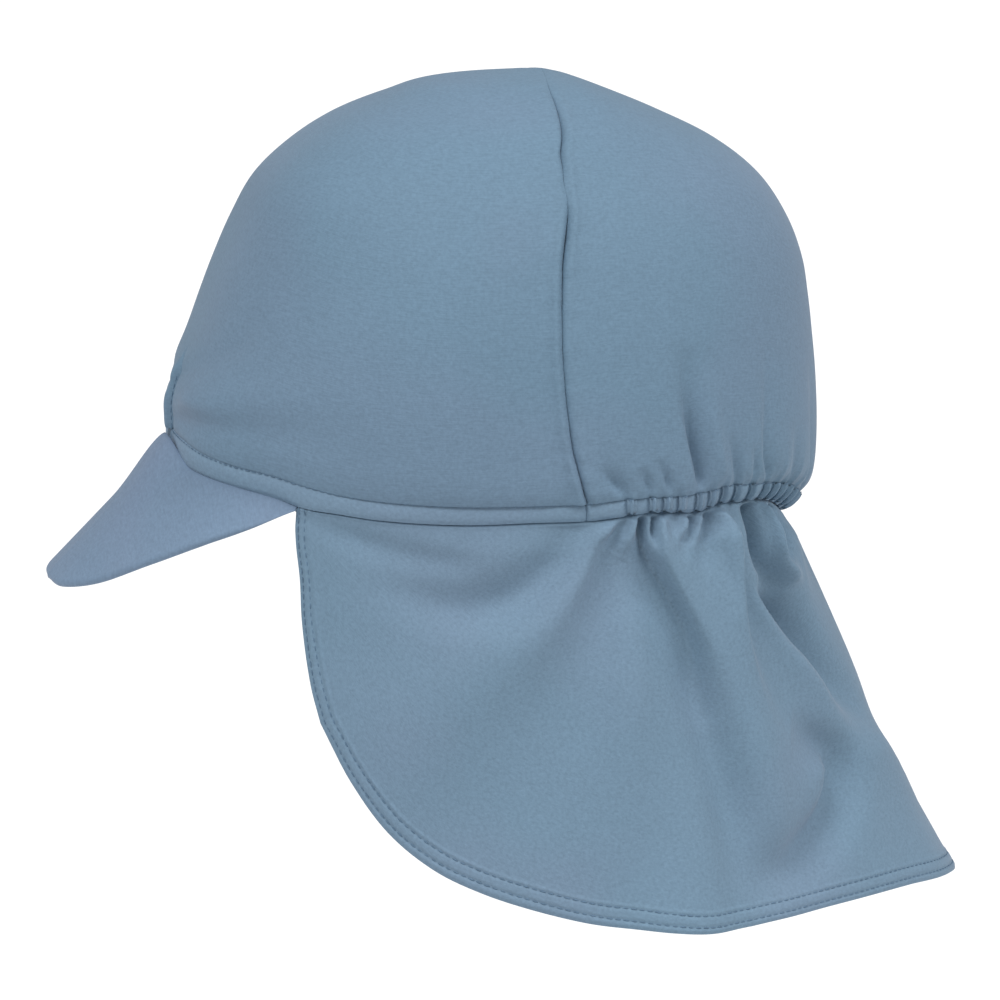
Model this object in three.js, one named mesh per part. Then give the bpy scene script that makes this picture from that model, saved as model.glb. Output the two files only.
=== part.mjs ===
// Child's sun cap of stretch swim knit: two crown panels that meet over the ears, a turned-up hem band
// in front, a gathered elastic casing behind, a stiff covered peak and a long neck flap.
// Millimetres, +Z up, the peak points to -Y, the wearer's left is +X.
// The origin is the middle of the head opening.

import * as THREE from 'three';

// Driving dimensions
const KNIT_COLOUR = 0x7390a6;
const CLOTH = 1.2;
const CASING_CLOTH = 1.8;
const PEAK_THICKNESS = 2.6;
const GAP = 0.35;
const BAND_HEIGHT = 5;
const RISE_FADES_BY = 45;
const FRONT_POWER = 2.45;
const BACK_POWER = 2.05;
const EAR_ANGLE = 90;
const PEAK_HALF_ANGLE = 34;
const PEAK_ROOT_OUT = 0.8;
const FLAP_START_ANGLE = 34.6;
const RIB_DEPTH = 0.9;
const DEGREE_LENGTH = 1.43;
const FLAP_TUCK = 0.5;
const FLAP_LENGTH = 120;
const HEM_FOLD_DEPTH = 7;
const HEM_FOLD_EXTRA = 0.5;
const HEM_FOLD_FADE = 4;
const BAND_OUT = 0.3;
const SEAM_FADE_ANGLE = 8;
const FOLD_LOSS = 0.6;

// Crown sections from the hem up: height, front and back along Y, half width along X,
// and where the ear seam crosses the side.
const CROWN_SECTIONS = [
  { height: 0, front: -90.4, back: 88.0, half: 74.0, seam: 15.0 },
  { height: 5, front: -91.2, back: 92.6, half: 75.0, seam: 14.6 },
  { height: 9, front: -91.4, back: 96.8, half: 76.2, seam: 14.2 },
  { height: 14, front: -91.4, back: 98.4, half: 77.2, seam: 13.4 },
  { height: 22, front: -90.2, back: 98.8, half: 77.8, seam: 12.0 },
  { height: 31, front: -88.2, back: 98.2, half: 77.8, seam: 10.8 },
  { height: 40, front: -85.0, back: 97.0, half: 77.2, seam: 10.0 },
  { height: 50, front: -81.4, back: 95.8, half: 76.0, seam: 9.6 },
  { height: 61, front: -77.2, back: 94.0, half: 73.5, seam: 9.8 },
  { height: 73, front: -72.0, back: 89.4, half: 69.5, seam: 10.6 },
  { height: 85, front: -65.4, back: 81.2, half: 63.0, seam: 12.0 },
  { height: 95, front: -55.2, back: 68.6, half: 54.0, seam: 13.6 },
  { height: 103, front: -43.0, back: 52.8, half: 44.0, seam: 15.0 },
  { height: 109, front: -28.6, back: 38.8, half: 32.6, seam: 16.4 },
  { height: 113.6, front: -14.0, back: 26.8, half: 19.0, seam: 17.4 },
  { height: 116, front: 18.0, back: 18.0, half: 0.0, seam: 18.0 },
];
const TOP_ROW = CROWN_SECTIONS.length - 1;
const BAND_ROW = 1;

// How far the hem line stands above or below the plane of the opening, from front to back,
// and how much taller than its usual height the band is there.
const HEM_LINE = [
  { angle: 0, rise: 6.0, taller: 3.0 },
  { angle: 8, rise: 5.3, taller: 2.9 },
  { angle: 16, rise: 4.6, taller: 1.9 },
  { angle: 24, rise: 3.7, taller: 1.4 },
  { angle: 31, rise: 2.4, taller: 1.6 },
  { angle: 36, rise: 0.2, taller: 2.0 },
  { angle: 42, rise: -0.9, taller: 1.0 },
  { angle: 48, rise: -2.1, taller: 0.8 },
  { angle: 56, rise: -3.0, taller: 0.7 },
  { angle: 66, rise: -3.5, taller: 0.5 },
  { angle: 78, rise: -3.3, taller: 0.2 },
  { angle: 90, rise: -3.4, taller: 0.2 },
  { angle: 97, rise: -2.8, taller: 0.2 },
  { angle: 104, rise: -2.2, taller: -0.2 },
  { angle: 111, rise: -2.9, taller: 0.1 },
  { angle: 118, rise: -3.6, taller: 0.9 },
  { angle: 124, rise: -2.4, taller: 0.6 },
  { angle: 131, rise: -3.2, taller: 0.5 },
  { angle: 140, rise: -4.4, taller: 0.2 },
  { angle: 150, rise: -7.4, taller: 0.7 },
  { angle: 161, rise: -12.2, taller: 0.3 },
  { angle: 171, rise: -15.4, taller: 0.0 },
  { angle: 180, rise: -16.4, taller: 0.0 },
];

// Soft folds in the crown, each a ridge (plus) or valley (minus) between two places on it,
// on the wearer's left (side 1), the wearer's right (side -1) or both (side 0).
const CROWN_FOLDS = [
  { side: 1, fromAngle: 1, fromHeight: 18, toAngle: 30, toHeight: 27, halfWidth: 3.2, out: 1.1 },
  { side: 1, fromAngle: 1, fromHeight: 10, toAngle: 36, toHeight: 22, halfWidth: 4.0, out: -1.5 },
  { side: 1, fromAngle: 8, fromHeight: 30, toAngle: 24, toHeight: 46, halfWidth: 5.0, out: -0.9 },
  { side: -1, fromAngle: 2, fromHeight: 10, toAngle: 26, toHeight: 12, halfWidth: 3.4, out: 1.6 },
  { side: -1, fromAngle: 2, fromHeight: 22, toAngle: 30, toHeight: 27, halfWidth: 4.4, out: -1.6 },
];

// Gathers that the elastic pulls into the back panel just above the casing.
const CROWN_GATHERS = [
  { side: 0, fromAngle: 100, fromHeight: 3, toAngle: 99, toHeight: 16, halfWidth: 2.6, out: -1.6 },
  { side: 0, fromAngle: 111, fromHeight: 3, toAngle: 109, toHeight: 22, halfWidth: 2.8, out: -1.8 },
  { side: 0, fromAngle: 121, fromHeight: 3, toAngle: 115, toHeight: 34, halfWidth: 3.4, out: -3.0 },
  { side: 0, fromAngle: 131, fromHeight: 3, toAngle: 128, toHeight: 24, halfWidth: 2.8, out: -2.0 },
  { side: 0, fromAngle: 146, fromHeight: 3, toAngle: 142, toHeight: 26, halfWidth: 3.2, out: -2.4 },
  { side: 0, fromAngle: 161, fromHeight: 3, toAngle: 160, toHeight: 20, halfWidth: 2.8, out: -1.8 },
  { side: 0, fromAngle: 174, fromHeight: 3, toAngle: 174, toHeight: 24, halfWidth: 3.0, out: -2.0 },
];

// Crests of the ribs in the elastic casing on one side.
const RIB_ANGLES = [100, 105.2, 108.6, 112.3, 117, 120.6, 124.2, 128.4, 133.6, 139.2, 143.6, 148,
  152.4, 157, 161.4, 165.6, 169.7, 173.8, 177.9];
const RIB_HALF_ANGLE = 2.0;
const RIB_SHARE_OUTSIDE = 0.5;

// Free edge of the peak from its middle to its end: place and height.
const PEAK_EDGE = [
  { share: 0, x: 0, y: -128.6, z: -27.6 },
  { share: 0.22, x: 13, y: -126.6, z: -27.4 },
  { share: 0.42, x: 26, y: -118.6, z: -24.2 },
  { share: 0.62, x: 39, y: -106.2, z: -17.0 },
  { share: 0.8, x: 49.5, y: -92.0, z: -9.8 },
  { share: 0.92, x: 54.8, y: -77.0, z: -4.2 },
  { share: 1, x: 55.6, y: -67.6, z: -0.2 },
];
const PEAK_CAMBER = 3.0;
const PEAK_ROOT_SHARE = 0.55;
const PEAK_FULL_BY = 0.1;

// Free hem of the neck flap: the hem point below each place where the flap is sewn on.
const FLAP_HEM = [
  { angle: 34, x: 57.0, y: -65.8, z: -42.0 },
  { angle: 37, x: 60.5, y: -62.8, z: -52.0 },
  { angle: 40, x: 64.0, y: -58.0, z: -63.0 },
  { angle: 44, x: 68.0, y: -51.4, z: -76.5 },
  { angle: 50, x: 72.0, y: -41.6, z: -90.8 },
  { angle: 57, x: 76.0, y: -29.6, z: -101.4 },
  { angle: 64, x: 79.0, y: -17.0, z: -108.0 },
  { angle: 72, x: 82.0, y: -2.8, z: -113.0 },
  { angle: 81, x: 84.5, y: 12.0, z: -116.8 },
  { angle: 90, x: 86.0, y: 25.0, z: -118.8 },
  { angle: 100, x: 86.5, y: 37.0, z: -119.8 },
  { angle: 110, x: 84.5, y: 49.0, z: -120.2 },
  { angle: 120, x: 79.5, y: 61.0, z: -120.2 },
  { angle: 130, x: 72.5, y: 72.5, z: -120.4 },
  { angle: 140, x: 63.5, y: 85.0, z: -121.0 },
  { angle: 150, x: 54.5, y: 100.0, z: -121.4 },
  { angle: 160, x: 41.5, y: 116.5, z: -122.6 },
  { angle: 170, x: 23.5, y: 134.0, z: -124.8 },
  { angle: 180, x: 0.0, y: 142.6, z: -127.4 },
];

// How far the flap's corner on the wearer's right is swept back, behind the left one.
const RIGHT_SWEEP_BACK = [
  { angle: 34, back: 27.0 },
  { angle: 37, back: 26.0 },
  { angle: 40, back: 24.0 },
  { angle: 44, back: 21.5 },
  { angle: 50, back: 17.0 },
  { angle: 57, back: 11.0 },
  { angle: 64, back: 5.0 },
  { angle: 72, back: 1.0 },
  { angle: 81, back: 0.0 },
  { angle: 180, back: 0.0 },
];
const SWEEP_BACK_BY = 0.5;

// How the flap leaves the seam: swell just below it, and the power of its outward sweep.
const FLAP_SWEEP = [
  { angle: 34, swell: 0.0, power: 1.0 },
  { angle: 90, swell: 0.6, power: 1.0 },
  { angle: 105, swell: 2.0, power: 1.0 },
  { angle: 140, swell: 2.4, power: 1.04 },
  { angle: 180, swell: 3.0, power: 1.12 },
];
const FLAP_FOLDS_FULL_BY = 0.12;
const FLAP_SWELL_BY = 0.08;

// Folds of the flap: each runs from one place (angle at the seam, share of the drop) to another.
const FLAP_FOLDS = [
  { side: 0, fromAngle: 98, from: 0.02, toAngle: 72, to: 0.75, halfWidth: 7, out: 3.0 },
  { side: 0, fromAngle: 97, from: 0.04, toAngle: 93, to: 0.5, halfWidth: 7, out: -3.0 },
  { side: 0, fromAngle: 108, from: 0.02, toAngle: 106, to: 0.45, halfWidth: 5, out: -3.0 },
  { side: 0, fromAngle: 110, from: 0.02, toAngle: 119, to: 0.5, halfWidth: 4, out: 3.4 },
  { side: 0, fromAngle: 136, from: 0.0, toAngle: 150, to: 0.75, halfWidth: 8, out: -8.0 },
  { side: 0, fromAngle: 128, from: 0.05, toAngle: 137, to: 0.85, halfWidth: 8, out: 4.0 },
  { side: 0, fromAngle: 150, from: 0.2, toAngle: 163, to: 0.9, halfWidth: 7, out: 4.0 },
  { side: 0, fromAngle: 180, from: 0.1, toAngle: 180, to: 0.36, halfWidth: 14, out: 2.4 },
  { side: 0, fromAngle: 180, from: 0.62, toAngle: 180, to: 0.86, halfWidth: 16, out: -2.6 },
];

function smoothStep(share) {
  const t = Math.min(Math.max(share, 0), 1);
  return t * t * (3 - 2 * t);
}

// Smooth curve through one column of a table, by the value of its key column.
function columnAt(table, key, at, column) {
  const last = table.length - 1;
  let row = 0;
  while (row < last - 1 && at > table[row + 1][key]) row += 1;
  const start = table[row];
  const end = table[row + 1];
  const before = table[Math.max(row - 1, 0)];
  const after = table[Math.min(row + 2, last)];
  const span = end[key] - start[key];
  const slopeIn = row === 0 ? (end[column] - start[column]) / span
    : (end[column] - before[column]) / (end[key] - before[key]);
  const slopeOut = row + 1 === last ? (end[column] - start[column]) / span
    : (after[column] - start[column]) / (after[key] - start[key]);
  const t = Math.min(Math.max((at - start[key]) / span, 0), 1);
  const t2 = t * t;
  const t3 = t2 * t;
  return (2 * t3 - 3 * t2 + 1) * start[column] + (t3 - 2 * t2 + t) * span * slopeIn
    + (3 * t2 - 2 * t3) * end[column] + (t3 - t2) * span * slopeOut;
}

const numberedSections = CROWN_SECTIONS.map((section, row) => ({ ...section, row }));

function sectionAt(row) {
  const pick = (column) => columnAt(numberedSections, 'row', row, column);
  return { height: pick('height'), front: pick('front'), back: pick('back'),
    half: Math.max(pick('half'), 0), seam: pick('seam') };
}

// Angle from the middle of the front, 0 to 180, the same on both sides.
function foldedAngle(angle) {
  const turn = ((angle % 360) + 360) % 360;
  return turn > 180 ? 360 - turn : turn;
}

// 1 on the wearer's left, -1 on the right.
function sideOf(angle) {
  const turn = ((angle % 360) + 360) % 360;
  return turn > 180 ? -1 : 1;
}

// How far the crown stands above its section table at one place, full at the band and gone higher up.
function hemRise(angle, height) {
  const pick = (column) => columnAt(HEM_LINE, 'angle', foldedAngle(angle), column);
  const fade = 1 - smoothStep((height - BAND_HEIGHT) / (RISE_FADES_BY - BAND_HEIGHT));
  return (pick('rise') + pick('taller') * Math.min(height / BAND_HEIGHT, 1)) * fade;
}

// Height of the ridge or depth of the valley that a table of folds gives at one place.
function foldOffset(folds, angle, along, alongScale, fromKey, toKey) {
  const side = sideOf(angle);
  const across = foldedAngle(angle) * DEGREE_LENGTH;
  let sum = 0;
  for (const fold of folds) {
    if (fold.side === -side) continue;
    const startX = fold.fromAngle * DEGREE_LENGTH;
    const startY = fold[fromKey] * alongScale;
    const runX = fold.toAngle * DEGREE_LENGTH - startX;
    const runY = fold[toKey] * alongScale - startY;
    const offX = across - startX;
    const offY = along * alongScale - startY;
    const share = (offX * runX + offY * runY) / (runX * runX + runY * runY);
    const held = Math.min(Math.max(share, 0), 1);
    const gap = Math.hypot(offX - held * runX, offY - held * runY) / fold.halfWidth;
    sum += fold.out * Math.exp(-gap * gap) * (1 - FOLD_LOSS * smoothStep(held));
  }
  return sum;
}

// Point on the outside of the crown at an angle from the front and a row of the section table.
function crownPoint(angle, row, extraOut = 0) {
  const section = sectionAt(row);
  const turn = THREE.MathUtils.degToRad(angle);
  const ahead = Math.cos(turn);
  const aside = Math.sin(turn);
  const isFront = ahead >= 0;
  const depth = isFront ? section.seam - section.front : section.back - section.seam;
  const power = isFront ? FRONT_POWER : BACK_POWER;
  const half = section.half;
  let radius = 0;
  if (half > 0 && depth > 0) {
    const sum = Math.abs(ahead / depth) ** power + Math.abs(aside / half) ** power;
    radius = sum ** (-1 / power);
  }
  const side = foldedAngle(angle);
  const folds = foldOffset(CROWN_FOLDS, angle, section.height, 1, 'fromHeight', 'toHeight');
  const gathers = isFront ? 0
    : foldOffset(CROWN_GATHERS, angle, section.height, 1, 'fromHeight', 'toHeight');
  const nearSeam = smoothStep(Math.abs(side - EAR_ANGLE) / SEAM_FADE_ANGLE);
  const aboveBand = row <= BAND_ROW ? 0 : 1;
  const out = radius > 0 ? (folds + gathers) * nearSeam * aboveBand + extraOut : 0;
  return new THREE.Vector3(
    (radius + out) * aside,
    section.seam - (radius + out) * ahead,
    section.height + hemRise(angle, section.height),
  );
}

function spread(from, to, steps) {
  return Array.from({ length: steps + 1 }, (_, step) => from + ((to - from) * step) / steps);
}

// Closed wall under a surface given point by point. Where levelAt is true, the wall's thickness
// runs level, so that the edge lies flat against its neighbour.
function closedWall(pointAt, columns, rows, thicknessAt, levelAt) {
  const nudge = 1e-3;
  const shortest = 1e-10;
  const gridPerMillimetre = 2000;
  const outer = [];
  const inner = [];
  for (const row of rows) {
    for (const column of columns) {
      const point = pointAt(column, row);
      const alongColumn = pointAt(column + nudge, row).sub(pointAt(column - nudge, row));
      const alongRow = pointAt(column, row + nudge).sub(pointAt(column, row - nudge));
      const normal = alongColumn.cross(alongRow);
      if (normal.length() < shortest) normal.set(0, 0, 1);
      if (levelAt(row)) normal.z = 0;
      normal.normalize();
      outer.push(point);
      inner.push(point.clone().addScaledVector(normal, -thicknessAt(column, row)));
    }
  }
  const places = [...outer, ...inner];
  const keys = new Map();
  const positions = [];
  const merged = places.map((place) => {
    const key = place.toArray().map((value) => Math.round(value * gridPerMillimetre)).join(' ');
    if (!keys.has(key)) {
      keys.set(key, positions.length / 3);
      positions.push(place.x, place.y, place.z);
    }
    return keys.get(key);
  });
  const faces = [];
  const addTriangle = (a, b, c) => {
    const corners = [merged[a], merged[b], merged[c]];
    if (new Set(corners).size === 3) faces.push(...corners);
  };
  const addQuad = (a, b, c, d) => {
    addTriangle(a, b, c);
    addTriangle(a, c, d);
  };
  const width = columns.length;
  const lastRow = rows.length - 1;
  const lastColumn = width - 1;
  const below = outer.length;
  const outside = (column, row) => row * width + column;
  const inside = (column, row) => below + row * width + column;
  for (let row = 0; row < lastRow; row += 1) {
    for (let column = 0; column < lastColumn; column += 1) {
      addQuad(outside(column, row), outside(column + 1, row),
        outside(column + 1, row + 1), outside(column, row + 1));
      addQuad(inside(column, row), inside(column, row + 1),
        inside(column + 1, row + 1), inside(column + 1, row));
    }
    addQuad(outside(0, row + 1), inside(0, row + 1), inside(0, row), outside(0, row));
    addQuad(outside(lastColumn, row), inside(lastColumn, row),
      inside(lastColumn, row + 1), outside(lastColumn, row + 1));
  }
  for (let column = 0; column < lastColumn; column += 1) {
    addQuad(inside(column, 0), inside(column + 1, 0), outside(column + 1, 0), outside(column, 0));
    addQuad(outside(column, lastRow), outside(column + 1, lastRow),
      inside(column + 1, lastRow), inside(column, lastRow));
  }
  const geometry = new THREE.BufferGeometry();
  geometry.setAttribute('position', new THREE.Float32BufferAttribute(positions, 3));
  geometry.setIndex(faces);
  return geometry;
}

const knit = new THREE.MeshStandardMaterial({ color: KNIT_COLOUR, roughness: 0.85, metalness: 0 });
const cap = new THREE.Group();

function addPiece(name, geometry) {
  const piece = new THREE.Mesh(geometry, knit.clone());
  piece.name = name;
  cap.add(piece);
}

// Crown panels, from just above the band to the top
const ROW_SLACK = 0.01;
const panelRows = [BAND_ROW, 1.5, 2, 2.6, 3.3, 4, 5, 6, 7, 8, 9, 10, 11, 12, 13, 13.6, 14.3, TOP_ROW];

function crownPanel(fromAngle, toAngle, steps, shiftY) {
  return closedWall(
    (angle, row) => {
      const point = crownPoint(angle, row);
      point.y += shiftY;
      if (row < BAND_ROW + ROW_SLACK) point.z += GAP;
      return point;
    },
    spread(fromAngle, toAngle, steps),
    panelRows,
    () => CLOTH,
    (row) => row <= BAND_ROW,
  );
}

addPiece('crown_front', crownPanel(-EAR_ANGLE, EAR_ANGLE, 32, -GAP / 2));
addPiece('crown_back', crownPanel(EAR_ANGLE, 360 - EAR_ANGLE, 44, GAP / 2));

// Hem band, turned up round the front and sides
function bandPoint(angle, share, shiftY, out) {
  const point = crownPoint(angle, share * BAND_ROW, out);
  point.y += shiftY;
  return point;
}

addPiece('hem_band', closedWall(
  (angle, share) => bandPoint(angle, share, -GAP / 2, BAND_OUT),
  spread(-EAR_ANGLE, EAR_ANGLE, 32),
  [0, 0.5, 1],
  () => CASING_CLOTH,
  () => true,
));

// Elastic casing with its ribs, round the back
function nearestRib(angle) {
  const side = foldedAngle(angle);
  let nearest = Infinity;
  for (const rib of RIB_ANGLES) nearest = Math.min(nearest, Math.abs(side - rib));
  return nearest;
}

function casingColumns() {
  const columns = [];
  const crests = [...RIB_ANGLES, ...RIB_ANGLES.map((angle) => 360 - angle).reverse()];
  const stops = [EAR_ANGLE, ...crests, 360 - EAR_ANGLE];
  for (let index = 0; index < stops.length - 1; index += 1) {
    columns.push(stops[index], (stops[index] + stops[index + 1]) / 2);
  }
  columns.push(stops[stops.length - 1]);
  return columns;
}

function ribOut(angle) {
  const groove = smoothStep(nearestRib(angle) / RIB_HALF_ANGLE);
  return RIB_DEPTH * (RIB_SHARE_OUTSIDE - groove);
}

addPiece('elastic_casing', closedWall(
  (angle, share) => bandPoint(angle, share, GAP / 2, BAND_OUT + ribOut(angle)),
  casingColumns(),
  [0, 0.5, 1],
  () => CASING_CLOTH,
  () => true,
));

// Stiff covered peak, drawn from the hem line to its free edge
function peakPoint(across, along) {
  const share = Math.min(Math.abs(across), 1);
  const side = Math.sign(across);
  const root = crownPoint(across * PEAK_HALF_ANGLE, 0, PEAK_ROOT_OUT);
  root.z -= GAP;
  const edge = new THREE.Vector3(
    side * columnAt(PEAK_EDGE, 'share', share, 'x'),
    columnAt(PEAK_EDGE, 'share', share, 'y'),
    columnAt(PEAK_EDGE, 'share', share, 'z'),
  );
  const point = root.lerp(edge, along);
  const rounded = Math.sin(Math.PI * Math.sqrt(Math.max(along, 0)));
  point.z += PEAK_CAMBER * rounded * (1 - share * share);
  return point;
}

addPiece('peak', closedWall(
  (across, along) => peakPoint(across, 1 - along),
  [-1, -0.96, ...spread(-0.88, 0.88, 22), 0.96, 1],
  [0, 0.06, 0.25, 0.5, 0.75, 1],
  (across, along) => PEAK_THICKNESS
    * (PEAK_ROOT_SHARE + (1 - PEAK_ROOT_SHARE) * smoothStep(along / PEAK_FULL_BY)),
  () => false,
));

// Neck flap, one sheet from one end of the peak round the back to the other
function flapPoint(angle, drop) {
  const side = foldedAngle(angle);
  const sign = sideOf(angle);
  const top = crownPoint(side, 0, -FLAP_TUCK);
  top.z -= GAP;
  const pick = (column) => columnAt(FLAP_HEM, 'angle', side, column);
  const power = columnAt(FLAP_SWEEP, 'angle', side, 'power');
  const swell = columnAt(FLAP_SWEEP, 'angle', side, 'swell');
  const turn = THREE.MathUtils.degToRad(side);
  const share = Math.max(drop, 0);
  const sweep = share ** power;
  const folds = foldOffset(FLAP_FOLDS, angle, drop, FLAP_LENGTH, 'from', 'to');
  const back = sign > 0 ? 0
    : columnAt(RIGHT_SWEEP_BACK, 'angle', side, 'back') * smoothStep(share / SWEEP_BACK_BY);
  const out = folds * smoothStep(drop / FLAP_FOLDS_FULL_BY)
    + swell * smoothStep(drop / FLAP_SWELL_BY);
  return new THREE.Vector3(
    sign * (top.x + (pick('x') - top.x) * sweep + out * Math.sin(turn)),
    top.y + (pick('y') - top.y) * sweep - out * Math.cos(turn) + back,
    top.z + (pick('z') - top.z) * drop,
  );
}

const flapDrops = [0, 0.04, 0.1, 0.18, 0.28, 0.38, 0.48, 0.58, 0.68, 0.78, 0.87, 0.94, 1];
const flapSide = [FLAP_START_ANGLE, 36, 38, 41, 44.5, 48, 52.5, 58, 65, 73, 81, 88, 94, 99, 104,
  108, 112, 116, 120, 124, 128, 132, 136, 140, 145, 150, 155, 160, 166, 173];

addPiece('neck_flap', closedWall(
  (angle, drop) => flapPoint(angle, 1 - drop),
  [...flapSide, 180, ...flapSide.map((angle) => 360 - angle).reverse()],
  flapDrops.map((drop) => 1 - drop).reverse(),
  (angle, drop) => CLOTH
    + HEM_FOLD_EXTRA * (1 - smoothStep((drop * FLAP_LENGTH - HEM_FOLD_DEPTH) / HEM_FOLD_FADE)),
  (drop) => drop >= 1,
));

export default cap;
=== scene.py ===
import math

import bmesh
import bpy
import numpy as np
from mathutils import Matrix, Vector
from mathutils.kdtree import KDTree


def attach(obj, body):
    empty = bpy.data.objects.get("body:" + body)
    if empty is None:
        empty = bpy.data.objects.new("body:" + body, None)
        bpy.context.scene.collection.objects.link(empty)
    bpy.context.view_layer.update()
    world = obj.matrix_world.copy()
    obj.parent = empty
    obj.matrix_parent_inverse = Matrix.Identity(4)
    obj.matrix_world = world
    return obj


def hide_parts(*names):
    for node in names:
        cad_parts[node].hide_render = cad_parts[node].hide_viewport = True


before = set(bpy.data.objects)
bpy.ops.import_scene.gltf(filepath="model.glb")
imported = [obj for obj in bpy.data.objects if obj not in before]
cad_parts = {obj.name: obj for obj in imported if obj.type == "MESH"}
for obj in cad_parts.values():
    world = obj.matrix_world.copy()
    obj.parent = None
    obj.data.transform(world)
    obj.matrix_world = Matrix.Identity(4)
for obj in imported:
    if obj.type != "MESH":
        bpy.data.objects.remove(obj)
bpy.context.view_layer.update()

# Camera, light and floor.
# The cap is seen from the wearer's left, a little from the front and above. It hangs in even,
# soft light far above a plain white ground.
MM = 0.001
VIEW_AZIMUTH = math.radians(78)
VIEW_ELEVATION = math.radians(11)
VIEW_DISTANCE = 1.8
VIEW_CENTRE = Vector((-0.4, 5.8, -11.0)) * MM
PIXELS_PER_MM = 3.412
FRAME_PIXELS = 1000
SENSOR = 36.0
VIEW_END = 50.0
FLOOR_HEIGHT = -0.6
FLOOR_SIZE = 16.0
FLOOR_COLOUR = (0.82, 0.82, 0.82, 1.0)
SKY_STRENGTH = 0.42
LAMP_WIDTH = math.radians(28)
# Each lamp by name: the side it shines from, and its strength.
LAMPS = {
    "lamp above the peak": ((0.9, -1.0, 1.9), 2.2),
    "lamp above the flap": ((0.8, 1.1, 1.5), 1.7),
}

scene = bpy.context.scene
scene.view_settings.view_transform = "Standard"


def add_object(name, data):
    """A new object in the scene."""
    added = bpy.data.objects.new(name, data)
    scene.collection.objects.link(added)
    return added


def new_material(name):
    """A material and its node tree."""
    material = bpy.data.materials.new(name)
    material.use_nodes = True
    return material, material.node_tree


def set_inputs(tree, node, inputs):
    """Links each named input of a node to a socket, or sets it to a value."""
    for name, given in inputs.items():
        if isinstance(given, bpy.types.NodeSocket):
            tree.links.new(given, node.inputs[name])
        else:
            node.inputs[name].default_value = given


look_along = Vector((
    -math.sin(VIEW_AZIMUTH) * math.cos(VIEW_ELEVATION),
    math.cos(VIEW_AZIMUTH) * math.cos(VIEW_ELEVATION),
    -math.sin(VIEW_ELEVATION),
))
camera_data = bpy.data.cameras.new("camera")
camera_data.sensor_width = SENSOR
camera_data.lens = SENSOR * PIXELS_PER_MM * VIEW_DISTANCE / MM / FRAME_PIXELS
camera_data.clip_end = VIEW_END
camera = add_object("camera", camera_data)
camera.location = VIEW_CENTRE - look_along * VIEW_DISTANCE
camera.rotation_euler = look_along.to_track_quat("-Z", "Y").to_euler()
scene.camera = camera

world = bpy.data.worlds.new("studio")
world.use_nodes = True
set_inputs(world.node_tree, world.node_tree.nodes["Background"], {
    "Color": (1.0, 1.0, 1.0, 1.0), "Strength": SKY_STRENGTH,
})
scene.world = world

for lamp_name, (lamp_place, lamp_strength) in LAMPS.items():
    lamp_data = bpy.data.lights.new(lamp_name, "SUN")
    lamp_data.energy = lamp_strength
    lamp_data.angle = LAMP_WIDTH
    lamp = add_object(lamp_name, lamp_data)
    lamp.location = lamp_place
    lamp.rotation_euler = (-Vector(lamp_place)).to_track_quat("-Z", "Y").to_euler()

half_floor = FLOOR_SIZE / 2
floor_mesh = bpy.data.meshes.new("floor")
floor_mesh.from_pydata(
    [(x * half_floor, y * half_floor, FLOOR_HEIGHT) for x, y in ((-1, -1), (1, -1), (1, 1), (-1, 1))],
    [],
    [(0, 1, 2, 3)],
)
floor = add_object("floor", floor_mesh)
floor_paint, floor_tree = new_material("floor paint")
set_inputs(floor_tree, floor_tree.nodes["Principled BSDF"], {
    "Base Color": FLOOR_COLOUR, "Roughness": 0.9, "Specular IOR Level": 0.1,
})
floor_mesh.materials.append(floor_paint)

# Crown panels.
# The crown is two panels of stretch swim knit, one in front and one behind, joined by a seam that
# runs over the head from ear to ear. The front panel has a short dart up the middle of its hem,
# and the back panel is gathered into the elastic casing.
KNIT_BLUE = (0.117, 0.194, 0.270)
CLOTH = 1.2
DEGREE_LENGTH = 1.43
RISE_FADES_BY = 45
BAND_HEIGHT = 5
FRONT_POWER = 2.45
BACK_POWER = 2.05
EAR_ANGLE = 90
RIB_DEGREE_LENGTH = 1.5
FOLD_STEPS = 3
FOLD_REACH = 2.6
BAND_ROW = 1
TOP_ROW = 15
CROWN_HEIGHT = 116
RELIEF_FREE_RADIUS = 12

# Sections of the crown from the hem up: front and back along Y, half width along X, and where
# the ear seam crosses the side.
CROWN_SECTIONS = {
    "row": list(range(TOP_ROW + 1)),
    "height": [0, 5, 9, 14, 22, 31, 40, 50, 61, 73, 85, 95, 103, 109, 113.6, CROWN_HEIGHT],
    "front": [-90.4, -91.2, -91.4, -91.4, -90.2, -88.2, -85, -81.4, -77.2, -72, -65.4, -55.2, -43, -28.6,
              -14, 18],
    "back": [88, 92.6, 96.8, 98.4, 98.8, 98.2, 97, 95.8, 94, 89.4, 81.2, 68.6, 52.8, 38.8, 26.8, 18],
    "half": [74, 75, 76.2, 77.2, 77.8, 77.8, 77.2, 76, 73.5, 69.5, 63, 54, 44, 32.6, 19, 0],
    "seam": [15, 14.6, 14.2, 13.4, 12, 10.8, 10, 9.6, 9.8, 10.6, 12, 13.6, 15, 16.4, 17.4, 18],
}

# How far the hem stands above or below the plane of the opening from front to back, and how much
# taller than usual the band is there.
HEM_LINE = {
    "angle": [0, 8, 16, 24, 31, 36, 42, 48, 56, 66, 78, 90, 97, 104, 111, 118, 124, 131, 140, 150, 161,
              171, 180],
    "rise": [6, 5.3, 4.6, 3.7, 2.4, 0.2, -0.9, -2.1, -3, -3.5, -3.3, -3.4, -2.8, -2.2, -2.9, -3.6, -2.4,
             -3.2, -4.4, -7.4, -12.2, -15.4, -16.4],
    "taller": [3, 2.9, 1.9, 1.4, 1.6, 2, 1, 0.8, 0.7, 0.5, 0.2, 0.2, 0.2, -0.2, 0.1, 0.9, 0.6, 0.5, 0.2,
               0.7, 0.3, 0, 0],
}

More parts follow.
